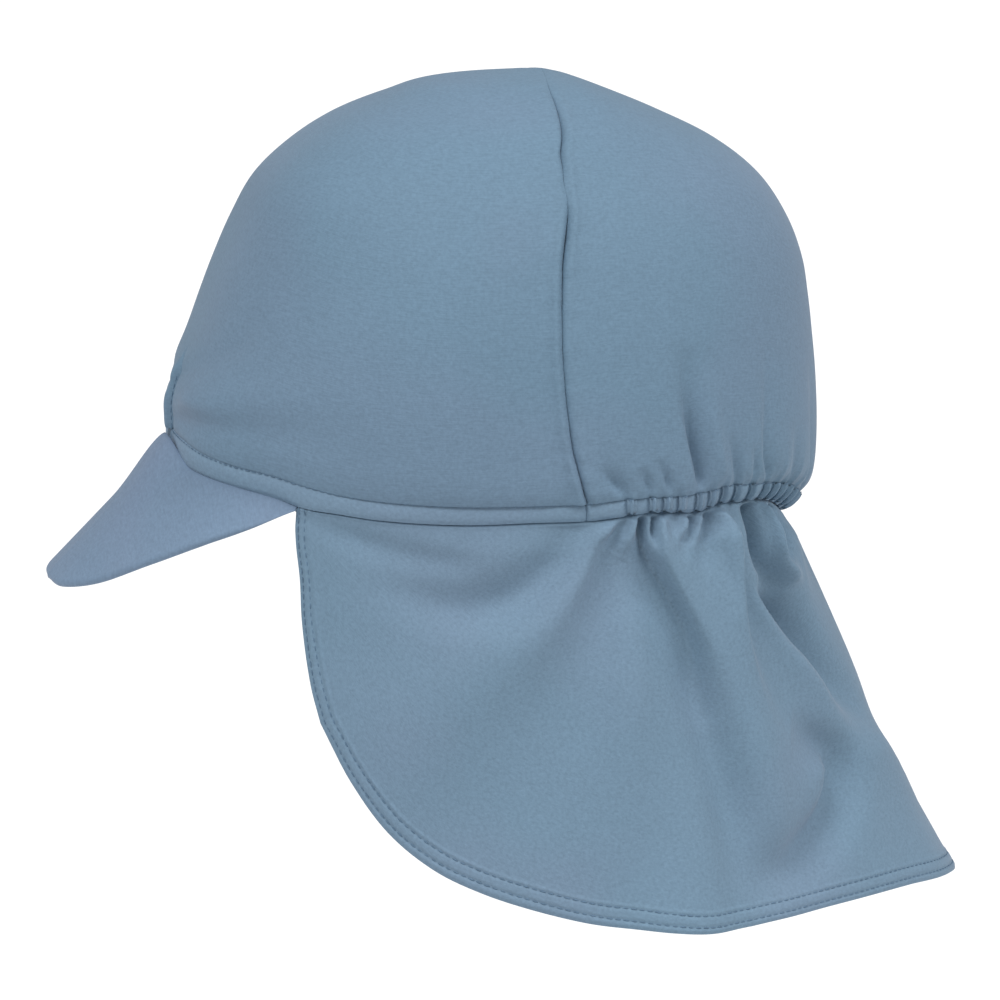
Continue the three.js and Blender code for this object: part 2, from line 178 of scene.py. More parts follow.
# The ear seam wanders by a few degrees as it climbs, and is pulled more open in some places.
SEAM_LEAN = {
    "height": [5, 10, 20, 39, 54, 70, 76, 82, 86, 90, 94, 98, 102, 105.5, 109, 113, CROWN_HEIGHT],
    "lean": [0.2, -0.6, -1.5, -1.7, -1.5, -1.1, -0.5, 0, -0.2, -1, -1.2, -1.5, -0.5, -0.8, -2, -4.6,
             -4.8],
    "open": [1, 1, 0.8, 0.6, 0.7, 1.2, 1.5, 0.9, 0.3, 0.3, 0.8, 1.5, 1.7, 1.6, 1.4, 0.9, 0.6],
}
SEAM_LEAN_WIDTH = 30

# Folds: side (1 left, -1 right, 0 both), sharpness (2 round, 1 creased), then the path as places
# (angle, height) with the half width in front, the half width behind and how far it stands out.
CROWN_FOLDS = [
    (1, 2, [(5, 17, 3, 3, 0.3), (12, 21, 4, 4, 1.3), (30, 28, 6, 6, 0.8), (42, 32, 7, 7, 0)]),
    (1, 2, [(2, 9, 3, 3, -0.4), (10, 11.6, 4, 4, -1.5), (24, 16, 5, 5, -1.5), (38, 21, 7, 7, -0.8),
        (50, 25, 8, 8, 0)]),
    (1, 2, [(0, 26, 3, 3, -0.6), (10, 34, 4, 4, -1.4), (21, 42, 5, 5, -1.2), (28, 54, 6, 6, 0)]),
    (-1, 2, [(6, 11, 3, 3, -0.6), (14, 11, 4, 4, -0.8), (26, 13, 5, 5, -0.2)]),
    (-1, 2, [(1, 21, 3, 3, -0.6), (10, 23, 4, 4, -1.6), (30, 28, 6, 6, -0.3)]),
]
GATHERS = [
    (0, 1.4, [(99.2, 5, 1.8, 2.6, -2.6), (97, 10, 2, 3, -2.2), (94, 15, 2, 3, 0)]),
    (0, 1.4, [(104.8, 5, 1.8, 2, -2.6), (104, 10, 1.8, 2.2, -1.6), (103, 14, 2, 2, 0)]),
    (0, 1.4, [(109, 5, 1, 1.6, -3), (108.6, 11, 1.2, 1.8, -2), (107.4, 16, 2, 2, 0)]),
    (0, 1.6, [(117, 4, 1.5, 1.8, -3), (117, 12, 1.6, 2.4, -4.8), (116.6, 22, 1.9, 3, -4.4),
        (116.4, 32, 3, 4.4, -2.4), (117, 46, 5, 6, 0)]),
    (0, 2, [(122.6, 6, 2, 2, 0.8), (121.8, 14, 2, 2.2, 1.2), (121.4, 26, 2.6, 2.6, 0.8),
        (121.2, 40, 3, 3, 0)]),
    (0, 1.4, [(127, 5, 1.2, 1.8, -2.4), (126.2, 12, 1.4, 2.4, -2), (125, 20, 2, 3, 0)]),
    (0, 1.4, [(133, 5, 1.2, 2, -2), (132.4, 11, 1.4, 2.4, -1.6), (131.6, 17, 2, 3, 0)]),
    (0, 1.3, [(139, 5, 1, 3, -3.2), (136, 12, 1.2, 4, -2.4), (136, 21, 1.6, 4.6, -1.4),
        (137, 32, 2.4, 5, -0.7), (138, 44, 3, 6, 0)]),
    (0, 1.6, [(150, 5, 2, 2.6, -2.3), (148, 12, 2.4, 3, -1.3), (147, 22, 3, 4, 0)]),
    (0, 1.4, [(163, 5, 1.4, 4, -3.5), (160, 13, 2, 5, -2.6), (158.6, 24, 3, 6, -1.1),
        (158, 36, 4, 7, 0)]),
    (0, 1.6, [(173, 5, 2.2, 2.2, -1.9), (173.4, 12, 2.6, 2.6, -0.8), (173.6, 18, 3, 3, 0)]),
]
RIB_ANGLES = np.array([
    100, 105.2, 108.6, 112.3, 117, 120.6, 124.2, 128.4, 133.6, 139.2, 143.6, 148, 152.4, 157,
    161.4, 165.6, 169.7, 173.8, 177.9,
])


def smooth_step(share):
    t = np.clip(share, 0, 1)
    return t * t * (3 - 2 * t)


def hump(distance, width, power=2):
    """A bump of height 1 that falls off over that width: round at power 2, a crease at power 1."""
    return np.exp(-np.abs(distance / width) ** power)


def column_at(table, at, column):
    """Smooth curve through one column of a table, by the value of its first column."""
    keys = np.asarray(next(iter(table.values())), float)
    values = np.asarray(table[column], float)
    at = np.asarray(at, float)
    slopes = np.empty_like(values)
    slopes[1:-1] = (values[2:] - values[:-2]) / (keys[2:] - keys[:-2])
    slopes[0] = (values[1] - values[0]) / (keys[1] - keys[0])
    slopes[-1] = (values[-1] - values[-2]) / (keys[-1] - keys[-2])
    row = np.clip(np.searchsorted(keys, at, side="right") - 1, 0, len(keys) - 2)
    span = keys[row + 1] - keys[row]
    t = np.clip((at - keys[row]) / span, 0, 1)
    start_share = 2 * t ** 3 - 3 * t ** 2 + 1
    slope_in = (t ** 3 - 2 * t ** 2 + t) * span * slopes[row]
    slope_out = (t ** 3 - t ** 2) * span * slopes[row + 1]
    return start_share * values[row] + (1 - start_share) * values[row + 1] + slope_in + slope_out


def folded_angle(angle):
    """Angle from the middle of the front, 0 to 180, the same on both sides."""
    turn = np.mod(angle, 360)
    return np.where(turn > 180, 360 - turn, turn)


def side_of(angle):
    """1 on the wearer's left, -1 on the right."""
    return np.where(np.mod(angle, 360) > 180, -1, 1)


def smooth_path(path):
    """The places of a fold on a smooth curve through them, a few to each stretch."""
    table = {"step": list(range(len(path)))}
    table.update({str(column): [place[column] for place in path] for column in range(5)})
    steps = np.linspace(0, len(path) - 1, (len(path) - 1) * FOLD_STEPS + 1)
    return np.stack([column_at(table, steps, str(column)) for column in range(5)], axis=-1)


def fold_lift(folds, angle, along, along_scale):
    """How far a table of folds lifts the cloth at each place."""
    side = side_of(angle)
    x = folded_angle(angle) * DEGREE_LENGTH
    y = along * along_scale
    total = np.zeros(np.broadcast(x, y).shape)
    for fold_side, sharpness, path in folds:
        places = smooth_path(path)
        at_x = places[:, 0] * DEGREE_LENGTH
        at_y = places[:, 1] * along_scale
        reach = FOLD_REACH * np.max(places[:, 2:4])
        near = (x > at_x.min() - reach) & (x < at_x.max() + reach)
        near &= (y > at_y.min() - reach) & (y < at_y.max() + reach) & (side != -fold_side)
        here_x = x[near]
        here_y = y[near]
        best = np.full(here_x.shape, np.inf)
        lift = np.zeros(here_x.shape)
        for number in range(len(places) - 1):
            run_x = at_x[number + 1] - at_x[number]
            run_y = at_y[number + 1] - at_y[number]
            run = math.hypot(run_x, run_y)
            off_x = here_x - at_x[number]
            off_y = here_y - at_y[number]
            share = np.clip((off_x * run_x + off_y * run_y) / run ** 2, 0, 1)
            gap = np.hypot(off_x - share * run_x, off_y - share * run_y)
            across = (run_x * off_y - run_y * off_x) / run
            lean = np.clip(across / np.maximum(gap, 1e-6), -1, 1)
            front, back, out = (
                places[number, column] + (places[number + 1, column] - places[number, column]) * share
                for column in (2, 3, 4)
            )
            width = (front + back) / 2 + lean * (front - back) / 2
            nearer = gap < best
            best = np.where(nearer, gap, best)
            lift = np.where(nearer, out * hump(gap, width, sharpness), lift)
        total[near] += lift
    return total


def hem_rise(angle, height):
    """How far the crown stands above its section table, full at the band and gone higher up."""
    side = folded_angle(angle)
    rise = column_at(HEM_LINE, side, "rise")
    taller = column_at(HEM_LINE, side, "taller")
    fade = 1 - smooth_step((height - BAND_HEIGHT) / (RISE_FADES_BY - BAND_HEIGHT))
    return (rise + taller * np.minimum(height / BAND_HEIGHT, 1)) * fade


def crown_surface(angle, row, out=0.0):
    """Points in millimetres on the outside of the crown, by angle from the front and section row."""
    angle, row = np.broadcast_arrays(np.asarray(angle, float), np.asarray(row, float))
    height, front, back, half, seam = (
        column_at(CROWN_SECTIONS, row, name)
        for name in ("height", "front", "back", "half", "seam")
    )
    half = np.maximum(half, 1e-6)
    turn = np.radians(angle)
    ahead = np.cos(turn)
    aside = np.sin(turn)
    is_front = ahead >= 0
    depth = np.maximum(np.where(is_front, seam - front, back - seam), 1e-6)
    power = np.where(is_front, FRONT_POWER, BACK_POWER)
    radius = (np.abs(ahead / depth) ** power + np.abs(aside / half) ** power) ** (-1 / power)
    radius = radius + out * smooth_step(radius / RELIEF_FREE_RADIUS)
    return np.stack([
        radius * aside,
        seam - radius * ahead,
        height + hem_rise(angle, height),
    ], axis=-1)


def past_rib(angle):
    """Distance in millimetres past the nearest rib crest of the elastic casing."""
    off = np.asarray(folded_angle(angle))[..., None] - RIB_ANGLES
    nearest = np.argmin(np.abs(off), axis=-1)
    return np.take_along_axis(off, nearest[..., None], axis=-1)[..., 0] * RIB_DEGREE_LENGTH


def grid_normals(points):
    """Unit normals of a grid of points, rows upwards and columns to the right seen from outside."""
    along_row = np.gradient(points, axis=0)
    along_column = np.gradient(points, axis=1)
    normals = np.cross(along_column, along_row)
    length = np.linalg.norm(normals, axis=-1, keepdims=True)
    return np.where(length > 1e-9, normals / np.maximum(length, 1e-9), (0, 0, 1))


def grid_lengths(points):
    """Distance along the cloth of each grid point, across and up, in millimetres."""
    lengths = []
    for axis in (1, 0):
        steps = np.linalg.norm(np.diff(points, axis=axis), axis=-1)
        lengths.append(np.insert(np.cumsum(steps, axis=axis), 0, 0, axis=axis))
    across, up = lengths
    across = across - across[:, [points.shape[1] // 2]]
    return np.stack([across, up], axis=-1)


def quads(*corners):
    """Faces from four arrays that hold the numbers of their corners."""
    return np.stack([corner.ravel() for corner in corners], axis=-1)


def mesh_piece(name, places, faces, lengths, material):
    """A piece on the cap's one body, with a UV map in metres given by its points."""
    mesh = bpy.data.meshes.new(name)
    mesh.from_pydata(places.tolist(), [], faces.tolist())
    uv_layer = mesh.uv_layers.new(name="cloth")
    uv_layer.data.foreach_set("uv", lengths[faces.ravel()].ravel())
    mesh.shade_smooth()
    mesh.materials.append(material)
    piece = add_object(name, mesh)
    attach(piece, "root")
    return piece


def cloth_wall(name, points, thickness, material, level_rows=(), relief=0.0):
    """A closed wall of cloth under a grid of points, with a UV map that measures it in metres."""
    normals = grid_normals(points)
    for row in level_rows:
        normals[row, :, 2] = 0
        normals[row] /= np.linalg.norm(normals[row], axis=-1, keepdims=True)
    rows, columns = points.shape[:2]
    inner = points - normals * np.broadcast_to(thickness, (rows, columns))[..., None]
    outer = points + normals * np.broadcast_to(relief, (rows, columns))[..., None]
    count = rows * columns
    index = np.arange(count).reshape(rows, columns)
    outside = quads(index[:-1, :-1], index[:-1, 1:], index[1:, 1:], index[1:, :-1])
    inside = outside[:, ::-1] + count
    rim = np.concatenate([
        quads(index[0, :-1] + count, index[0, 1:] + count, index[0, 1:], index[0, :-1]),
        quads(index[-1, :-1], index[-1, 1:], index[-1, 1:] + count, index[-1, :-1] + count),
        quads(index[1:, 0], index[1:, 0] + count, index[:-1, 0] + count, index[:-1, 0]),
        quads(index[:-1, -1], index[:-1, -1] + count, index[1:, -1] + count, index[1:, -1]),
    ])
    faces = np.concatenate([outside, inside, rim])
    places = np.concatenate([outer.reshape(-1, 3), inner.reshape(-1, 3)]) * MM
    lengths = np.concatenate([grid_lengths(points).reshape(-1, 2)] * 2) * MM
    piece = mesh_piece(name, places, faces, lengths, material)
    mesh = piece.data
    on_rim = np.pad(np.zeros((rows - 2, columns - 2), bool), 1, constant_values=True)
    on_rim = np.concatenate([on_rim.ravel()] * 2)
    edges = np.empty(len(mesh.edges) * 2, int)
    mesh.edges.foreach_get("vertices", edges)
    edges = edges.reshape(-1, 2)
    same_side = (edges[:, 0] < count) == (edges[:, 1] < count)
    sharp = mesh.attributes.new("sharp_edge", "BOOLEAN", "EDGE")
    sharp.data.foreach_set("value", on_rim[edges].all(axis=1) & same_side)
    return piece


def merge_doubles(piece):
    """Joins the points of a mesh that lie on each other, such as at the top of a panel."""
    work = bmesh.new()
    work.from_mesh(piece.data)
    bmesh.ops.remove_doubles(work, verts=work.verts, dist=1e-7)
    bmesh.ops.dissolve_degenerate(work, edges=work.edges, dist=1e-8)
    work.to_mesh(piece.data)
    work.free()


def spaced(*stretches):
    """Values through stretches given as (start, end, steps), without repeats."""
    parts = [np.linspace(start, end, steps, endpoint=False) for start, end, steps in stretches]
    return np.concatenate(parts + [[stretches[-1][1]]])


KNIT_SHEEN = 0.09
KNIT_SHEEN_TINT = (1.0, 0.84, 0.9, 1.0)
MOTTLE_SCALE = 950.0
BROAD_SCALE = 24.0
PATCH_SCALE = 17.0
KNIT_RELIEF = 0.00012


def node_adder(tree):
    """Function that adds a node to the tree by its kind, its inputs and its modes."""
    def add(kind, inputs=(), **modes):
        node = tree.nodes.new(kind)
        for mode, choice in modes.items():
            setattr(node, mode, choice)
        set_inputs(tree, node, dict(inputs))
        return node
    return add


def swim_knit(name, colour, streak_scale):
    """Matte stretch knit: fine streaks, a mottled grain, a soft sheen and a fine relief."""
    material, tree = new_material(name)
    add = node_adder(tree)
    place = add("ShaderNodeTexCoord").outputs["Object"]
    cloth = add("ShaderNodeUVMap", uv_map="cloth").outputs["UV"]

    def noise(vector, scale, detail, roughness=0.5):
        return add("ShaderNodeTexNoise", {
            "Vector": vector, "Scale": scale, "Detail": detail, "Roughness": roughness,
        }).outputs["Fac"]

    def spread(value, low, high, to_low, to_high):
        return add("ShaderNodeMapRange", {
            "Value": value, "From Min": low, "From Max": high, "To Min": to_low, "To Max": to_high,
        }).outputs["Result"]

    def combined(operation, first, second):
        both = {0: first, 1: second}
        return add("ShaderNodeMath", both, operation=operation).outputs["Value"]

    stretch = add("ShaderNodeMapping", {"Vector": cloth, "Scale": (*streak_scale, 1)})
    streaks = noise(stretch.outputs["Vector"], 1.0, 3.0, 0.65)
    grain = combined("ADD", streaks, noise(place, MOTTLE_SCALE, 2.0))
    fine_shade = spread(grain, 0.7, 1.3, 0.90, 1.10)
    broad_shade = spread(noise(place, BROAD_SCALE, 2.0), 0.3, 0.7, 0.975, 1.025)
    # Random patches where the knit turns a little redder and more violet.
    violet_patches = add("ShaderNodeMix", {
        "Factor": spread(noise(place, PATCH_SCALE, 1.0), 0.42, 0.62, 0.0, 1.0),
        "A": colour, "B": (colour[0] * 1.06, colour[1], colour[2] * 1.01),
    }, data_type="VECTOR")
    shade = combined("MULTIPLY", fine_shade, broad_shade)
    patched_inputs = {0: violet_patches.outputs["Result"], "Scale": shade}
    tint = add("ShaderNodeVectorMath", patched_inputs, operation="SCALE")
    bump = add("ShaderNodeBump", {"Strength": 0.6, "Distance": KNIT_RELIEF, "Height": grain})
    set_inputs(tree, tree.nodes["Principled BSDF"], {
        "Base Color": tint.outputs["Vector"], "Normal": bump.outputs["Normal"],
        "Roughness": 0.75, "Specular IOR Level": 0.3,
        "Sheen Weight": KNIT_SHEEN, "Sheen Roughness": 0.4, "Sheen Tint": KNIT_SHEEN_TINT,
    })
    return material


CROWN_STREAKS = (240, 2000)
crown_knit = swim_knit("crown knit", KNIT_BLUE, CROWN_STREAKS)

SEAM_TUCK = 1.4
SEAM_TUCK_WIDTH = 0.55
SEAM_ROLL = 0.85
SEAM_ROLL_AT = 2.0
SEAM_ROLL_WIDTH = 1.3
SEAM_HIGH_FROM = 60
SEAM_HIGH_OVER = 26
FRONT_ROLL_LOSS = 0.4
BACK_ROLL_LOW = 0.35
SEAM_HOLLOW = 0.4
SEAM_HOLLOW_AT = 7.0
SEAM_HOLLOW_WIDTH = 3.6
TOP_HOLLOW = 0.8
TOP_HOLLOW_FROM = 102
TOP_HOLLOW_OVER = 10
SEAM_CLEARANCE = 0.02
PUCKER = 0.16
PUCKER_AT = 1.5
PUCKER_REACH = 4.0
PUCKER_WAVES = (0.83, 0.31)
PUCKER_SHIFTS = (1.0, 2.0)
FOLDS_CLEAR_SEAM = 10
DART_HEIGHT = 38
DART_FULL_SHARE = 0.6
DART_DEPTH = 0.7
DART_WIDTH = 0.8
DART_ROLL = 1.9
DART_ROLL_START = 1.5
DART_ROLL_WIDTH = 6.5
FRONT_RADIUS = 78
HEM_TUCK = 0.25
HEM_TUCK_WIDTH = 0.7
HEM_FLARE = 1.3
HEM_FLARE_HEIGHT = 8.0
GATHER_HELD = 0.3
GATHER_FREE_BY = 5.0
PLEAT_DEPTH = 0.8
PLEAT_WIDTH = 1.1
PLEAT_HOLLOW = 0.6
PLEAT_HOLLOW_AT = 1.9
PLEAT_FADE = 3.6
TOP_SMOOTH = 3
PROFILE_STEPS = 600
PROFILE_ANGLE = 40.0


def leaned_surface(angle, row, relief):
    """Points on the crown's outside, with the wander of the ear seam added to their angles."""
    side = folded_angle(angle)
    lean = column_at(SEAM_LEAN, column_at(CROWN_SECTIONS, row, "height"), "lean")
    moved = side + lean * hump(side - EAR_ANGLE, SEAM_LEAN_WIDTH)
    return crown_surface(moved * side_of(angle), row, relief)


def crown_relief(angle, row, is_front):
    """Relief of a panel: folds, the rolled edges of its seams, the dart and the small pleats."""
    side = folded_angle(angle)
    height, half = (column_at(CROWN_SECTIONS, row, name) for name in ("height", "half"))
    from_seam = np.radians(np.abs(side - EAR_ANGLE)) * np.maximum(half, 1)
    high = smooth_step((height - SEAM_HIGH_FROM) / SEAM_HIGH_OVER)
    front_roll = 1 - FRONT_ROLL_LOSS * high
    back_roll = BACK_ROLL_LOW + (1 - BACK_ROLL_LOW) * high
    roll = SEAM_ROLL * (front_roll if is_front else back_roll)
    pulled = column_at(SEAM_LEAN, height, "open")
    relief = -SEAM_TUCK * pulled * hump(from_seam, SEAM_TUCK_WIDTH, 1)
    relief += roll * hump(from_seam - SEAM_ROLL_AT, SEAM_ROLL_WIDTH)
    top = 0 if is_front else TOP_HOLLOW
    hollow = SEAM_HOLLOW + top * smooth_step((height - TOP_HOLLOW_FROM) / TOP_HOLLOW_OVER)
    relief -= hollow * hump(from_seam - SEAM_HOLLOW_AT, SEAM_HOLLOW_WIDTH)
    quick = np.sin(height * PUCKER_WAVES[0] + PUCKER_SHIFTS[0])
    slow = np.sin(height * PUCKER_WAVES[1] + PUCKER_SHIFTS[1] * is_front)
    relief += PUCKER * (quick * slow) * hump(from_seam - PUCKER_AT, PUCKER_REACH)
    near_seam = smooth_step(from_seam / FOLDS_CLEAR_SEAM)
    above_band = height - BAND_HEIGHT
    relief -= HEM_TUCK * hump(above_band, HEM_TUCK_WIDTH, 1)
    aside = np.sin(np.radians(side)) ** 2
    relief += HEM_FLARE * aside * hump(above_band, HEM_FLARE_HEIGHT)
    if is_front:
        from_dart = np.radians(side) * side_of(angle) * FRONT_RADIUS
        full = DART_FULL_SHARE * DART_HEIGHT
        dart = 1 - smooth_step((height - full) / ((1 - DART_FULL_SHARE) * DART_HEIGHT))
        relief += near_seam * fold_lift(CROWN_FOLDS, angle, height, 1)
        relief -= DART_DEPTH * dart * hump(from_dart, DART_WIDTH, 1)
        past_dart = np.maximum(-from_dart, 0)
        roll = smooth_step(past_dart / DART_ROLL_START) * hump(past_dart, DART_ROLL_WIDTH)
        relief += DART_ROLL * dart * roll
    else:
        past = past_rib(angle)
        pleat = hump(past, PLEAT_WIDTH) - PLEAT_HOLLOW * hump(past + PLEAT_HOLLOW_AT, PLEAT_WIDTH)
        freed = GATHER_HELD + (1 - GATHER_HELD) * smooth_step(above_band / GATHER_FREE_BY)
        relief += near_seam * freed * fold_lift(GATHERS, angle, height, 1)
        relief += PLEAT_DEPTH * pleat * np.exp(-above_band / PLEAT_FADE)
    return relief * smooth_step((CROWN_HEIGHT - height) / TOP_SMOOTH)


def crown_panel(name, angles, is_front):
    """One panel of the crown, with its rows closest together just above the hem."""
    samples = np.linspace(BAND_ROW, TOP_ROW, PROFILE_STEPS)
    profile_angle = PROFILE_ANGLE if is_front else 180 - PROFILE_ANGLE
    profile = crown_surface(profile_angle, samples)
    length = np.concatenate([[0], np.cumsum(np.linalg.norm(np.diff(profile, axis=0), axis=-1))])
    stops = spaced((0, 2, 8), (2, 20, 34), (20, length[-1], 86))
    rows = np.interp(stops, length, samples)
    angle, row = np.meshgrid(angles, rows)
    points = leaned_surface(angle, row, crown_relief(angle, row, is_front))
    points[..., 1] += -SEAM_CLEARANCE if is_front else SEAM_CLEARANCE
    panel = cloth_wall(name, points, CLOTH, crown_knit, level_rows=[0])
    merge_doubles(panel)
    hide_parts(name)
    return panel


FRONT_ANGLES = spaced((-90, -88.4, 8), (-88.4, -82, 14), (-82, -3, 80), (-3, 2, 32), (2, 82, 80),
                      (82, 88.4, 14), (88.4, 90, 8))
BACK_ANGLES = spaced((90, 91.6, 8), (91.6, 98, 14), (98, 262, 290), (262, 268.4, 14),
                     (268.4, 270, 8))
crown_front = crown_panel("crown_front", FRONT_ANGLES, True)
crown_back = crown_panel("crown_back", BACK_ANGLES, False)

# Ear seam allowances.
# Where the two panels are sewn together, their cut edges are overlocked and lie pressed flat
# against the inside of the crown, in one strip along each ear seam.
ALLOWANCE_WIDTH = 3.0
ALLOWANCE_CLOTH = 0.8
ALLOWANCE_GAP = 0.05
ALLOWANCE_ROWS = 160
ALLOWANCE_COLUMNS = 9


def seam_allowance(name, side):
    """The strip inside one ear seam, on side 1 for the left and -1 for the right."""
    rows = np.linspace(BAND_ROW, TOP_ROW, ALLOWANCE_ROWS)
    across, row = np.meshgrid(np.linspace(-1, 1, ALLOWANCE_COLUMNS), rows)
    half = column_at(CROWN_SECTIONS, row, "half")
    reach = np.degrees(ALLOWANCE_WIDTH / np.maximum(half, 2 * ALLOWANCE_WIDTH))
    angle = side * (EAR_ANGLE + side * across * reach)
    relief = np.minimum(crown_relief(angle, row, True), crown_relief(angle, row, False))
    points = leaned_surface(angle, row, relief)
    inside = CLOTH + ALLOWANCE_GAP
    strip = cloth_wall(name, points, inside + ALLOWANCE_CLOTH, crown_knit, relief=-inside)
    merge_doubles(strip)
    return strip


left_allowance = seam_allowance("seam_allowance_left", 1)
right_allowance = seam_allowance("seam_allowance_right", -1)

# Hem band and elastic casing.
# The crown's edge is turned up and top-stitched a little above the hem. Round the front and sides
# it lies flat, and behind the ears it is a channel whose elastic draws the knit into small ribs.
BAND_BLUE = (0.146, 0.232, 0.318)
BAND_CLOTH = 1.8
BAND_OUT = 0.3
BAND_PUFF = 0.35
BAND_EDGE_TURN = 0.45
RIB_LIFT = 1.8
RIB_WIDTH = 0.52
RIB_HOLLOW = 0.3
RIB_HOLLOW_AT = 1.6
RIB_DRAWN_UP = 0.6
RIB_HOLLOW_WIDTH = 0.9
RIB_DRAWN_WIDTH = 1.2
BAND_EDGE_WIDTH = 0.6
BAND_JOIN_TUCK = 0.9
BAND_JOIN_WIDTH = 0.5
BAND_SIDE_RADIUS = 75
BAND_FRONT_RADIUS = 80
BAND_STREAKS = (900, 1300)
band_knit = swim_knit("band knit", BAND_BLUE, BAND_STREAKS)


def band_surface(angle, share, is_front, out=0.0):
    """Points on the band, from the hem (share 0) to the stitches (share 1)."""
    side = folded_angle(angle)
    from_seam = np.radians(np.abs(side - EAR_ANGLE)) * BAND_SIDE_RADIUS
    from_hem = share * BAND_HEIGHT
    from_stitches = (1 - share) * BAND_HEIGHT
    edge = hump(from_hem, BAND_EDGE_WIDTH) + hump(from_stitches, BAND_EDGE_WIDTH, 1)
    lift = BAND_OUT + BAND_PUFF * np.sin(np.pi * share) - BAND_EDGE_TURN * edge + out
    lift -= BAND_JOIN_TUCK * hump(from_seam, BAND_JOIN_WIDTH, 1)
    droop = 0
    if is_front:
        from_middle = np.radians(side) * BAND_FRONT_RADIUS
        lift -= BAND_JOIN_TUCK * hump(from_middle, BAND_JOIN_WIDTH, 1)
    else:
        gap = past_rib(angle)
        lift += RIB_LIFT * hump(gap, RIB_WIDTH)
        lift -= RIB_HOLLOW * hump(gap + RIB_HOLLOW_AT, RIB_HOLLOW_WIDTH)
        droop = RIB_DRAWN_UP * hump(gap, RIB_DRAWN_WIDTH) * (1 - share) ** 2
    points = crown_surface(angle, share * BAND_ROW, lift)
    points[..., 2] += droop
    return points


def band_piece(name, angles, is_front):
    """The half of the band in front of the ear seams, or the half behind them."""
    shares = spaced((0, 0.3, 8), (0.3, 0.7, 5), (0.7, 1, 8))
    angle, share = np.meshgrid(angles, shares)
    points = band_surface(angle, share, is_front)
    points[..., 1] += -SEAM_CLEARANCE if is_front else SEAM_CLEARANCE
    piece = cloth_wall(name, points, BAND_CLOTH, band_knit, level_rows=range(len(shares)))
    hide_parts(name)
    return piece


BAND_FRONT_ANGLES = spaced((-90, -88, 8), (-88, -3, 120), (-3, 3, 20), (3, 88, 120), (88, 90, 8))
BAND_BACK_ANGLES = spaced((90, 92, 8), (92, 268, 880), (268, 270, 8))
hem_band = band_piece("hem_band", BAND_FRONT_ANGLES, True)
elastic_casing = band_piece("elastic_casing", BAND_BACK_ANGLES, False)


# Stitches of the band and the dart.
# Small stitches of sewing thread, darker than the knit: the thread is real, its extra darkness is
# painted shade of the shadowed needle holes and grooves. One row holds down the band's turned edge
# all round, and a short row closes the dart at the middle of the front.
# The knit's blue made darker: real thread colour plus painted shade of the needle holes and stitch
# grooves.
SHADED_THREAD_BLUE = (0.085, 0.145, 0.215)
THREAD_DARKER = 0.75
THREAD_LIGHTER = 1.3
TWIST_SCALE = 700.0
STITCH_PITCH = 2.2
STITCH_LENGTH = 1.75
THREAD_RADIUS = 0.2
SMALLEST_STITCH = 0.8
LARGEST_STITCH = 1.15
STITCH_SEED = 11
BAND_STITCH_SHARE = 0.98
BAND_STITCH_OUT = 0.3
BAND_THREAD_RADIUS = 0.16
DART_STITCH_ANGLE = 0.35
DART_STITCH_OUT = 0.1


def thread_material():
    """Sewing thread darkened as painted shade of its needle holes, and a little darker and lighter along
    its twist.
    """
    material, tree = new_material("thread")
    add = node_adder(tree)
    place = add("ShaderNodeTexCoord").outputs["Object"]
    twist = add("ShaderNodeTexNoise", {"Vector": place, "Scale": TWIST_SCALE})
    blend = add("ShaderNodeMix", {
        "Factor": twist.outputs["Fac"],
        "A": (*(THREAD_DARKER * part for part in SHADED_THREAD_BLUE), 1.0),
        "B": (*(THREAD_LIGHTER * part for part in SHADED_THREAD_BLUE), 1.0),
    }, data_type="RGBA")
    set_inputs(tree, tree.nodes["Principled BSDF"], {
        "Base Color": blend.outputs["Result"], "Roughness": 0.7, "Specular IOR Level": 0.3,
    })
    return material


def stitch_tree():
    """Node tree that lays a stitch at each step of the pitch along a curve."""
    tree = bpy.data.node_groups.new("stitch row", "GeometryNodeTree")
    for label, kind in (
        ("Path", "Geometry"), ("Pitch", "Float"), ("Stitch length", "Float"),
        ("Thread radius", "Float"), ("Wobble seed", "Int"), ("Thread", "Material"),
    ):
        tree.interface.new_socket(label, in_out="INPUT", socket_type="NodeSocket" + kind)
    tree.interface.new_socket("Stitches", in_out="OUTPUT", socket_type="NodeSocketGeometry")
    add = node_adder(tree)
    given = add("NodeGroupInput").outputs
    line = add("GeometryNodeMeshToCurve", {"Mesh": given["Path"]})
    steps = add("GeometryNodeResampleCurve", {
        "Curve": line.outputs["Curve"], "Length": given["Pitch"],
    }, mode="LENGTH")
    ball = add("GeometryNodeMeshUVSphere", {"Segments": 8, "Rings": 6, "Radius": 1.0})
    tangent = add("GeometryNodeInputTangent").outputs["Tangent"]
    align = add("FunctionNodeAlignRotationToVector", {"Vector": tangent}, axis="X")
    half = add("ShaderNodeMath", {0: given["Stitch length"], 1: 0.5}, operation="MULTIPLY")
    shape = add("ShaderNodeCombineXYZ", {
        "X": half.outputs["Value"], "Y": given["Thread radius"], "Z": given["Thread radius"],
    })
    wobble = add("FunctionNodeRandomValue", {
        2: SMALLEST_STITCH, 3: LARGEST_STITCH, "Seed": given["Wobble seed"],
    }, data_type="FLOAT")
    size = add("ShaderNodeVectorMath", {
        0: shape.outputs["Vector"], "Scale": wobble.outputs[1],
    }, operation="SCALE")
    place = add("GeometryNodeInstanceOnPoints", {
        "Points": steps.outputs["Curve"], "Instance": ball.outputs["Mesh"],
        "Rotation": align.outputs["Rotation"], "Scale": size.outputs["Vector"],
    })
    real = add("GeometryNodeRealizeInstances", {"Geometry": place.outputs["Instances"]})
    paint = add("GeometryNodeSetMaterial", {
        "Geometry": real.outputs["Geometry"], "Material": given["Thread"],
    })
    add("NodeGroupOutput", {"Stitches": paint.outputs["Geometry"]})
    return tree


# The stitches' thread, darkened as painted shade of the needle holes and grooves it sits in.
shade_darkened_thread = thread_material()
stitch_nodes = stitch_tree()


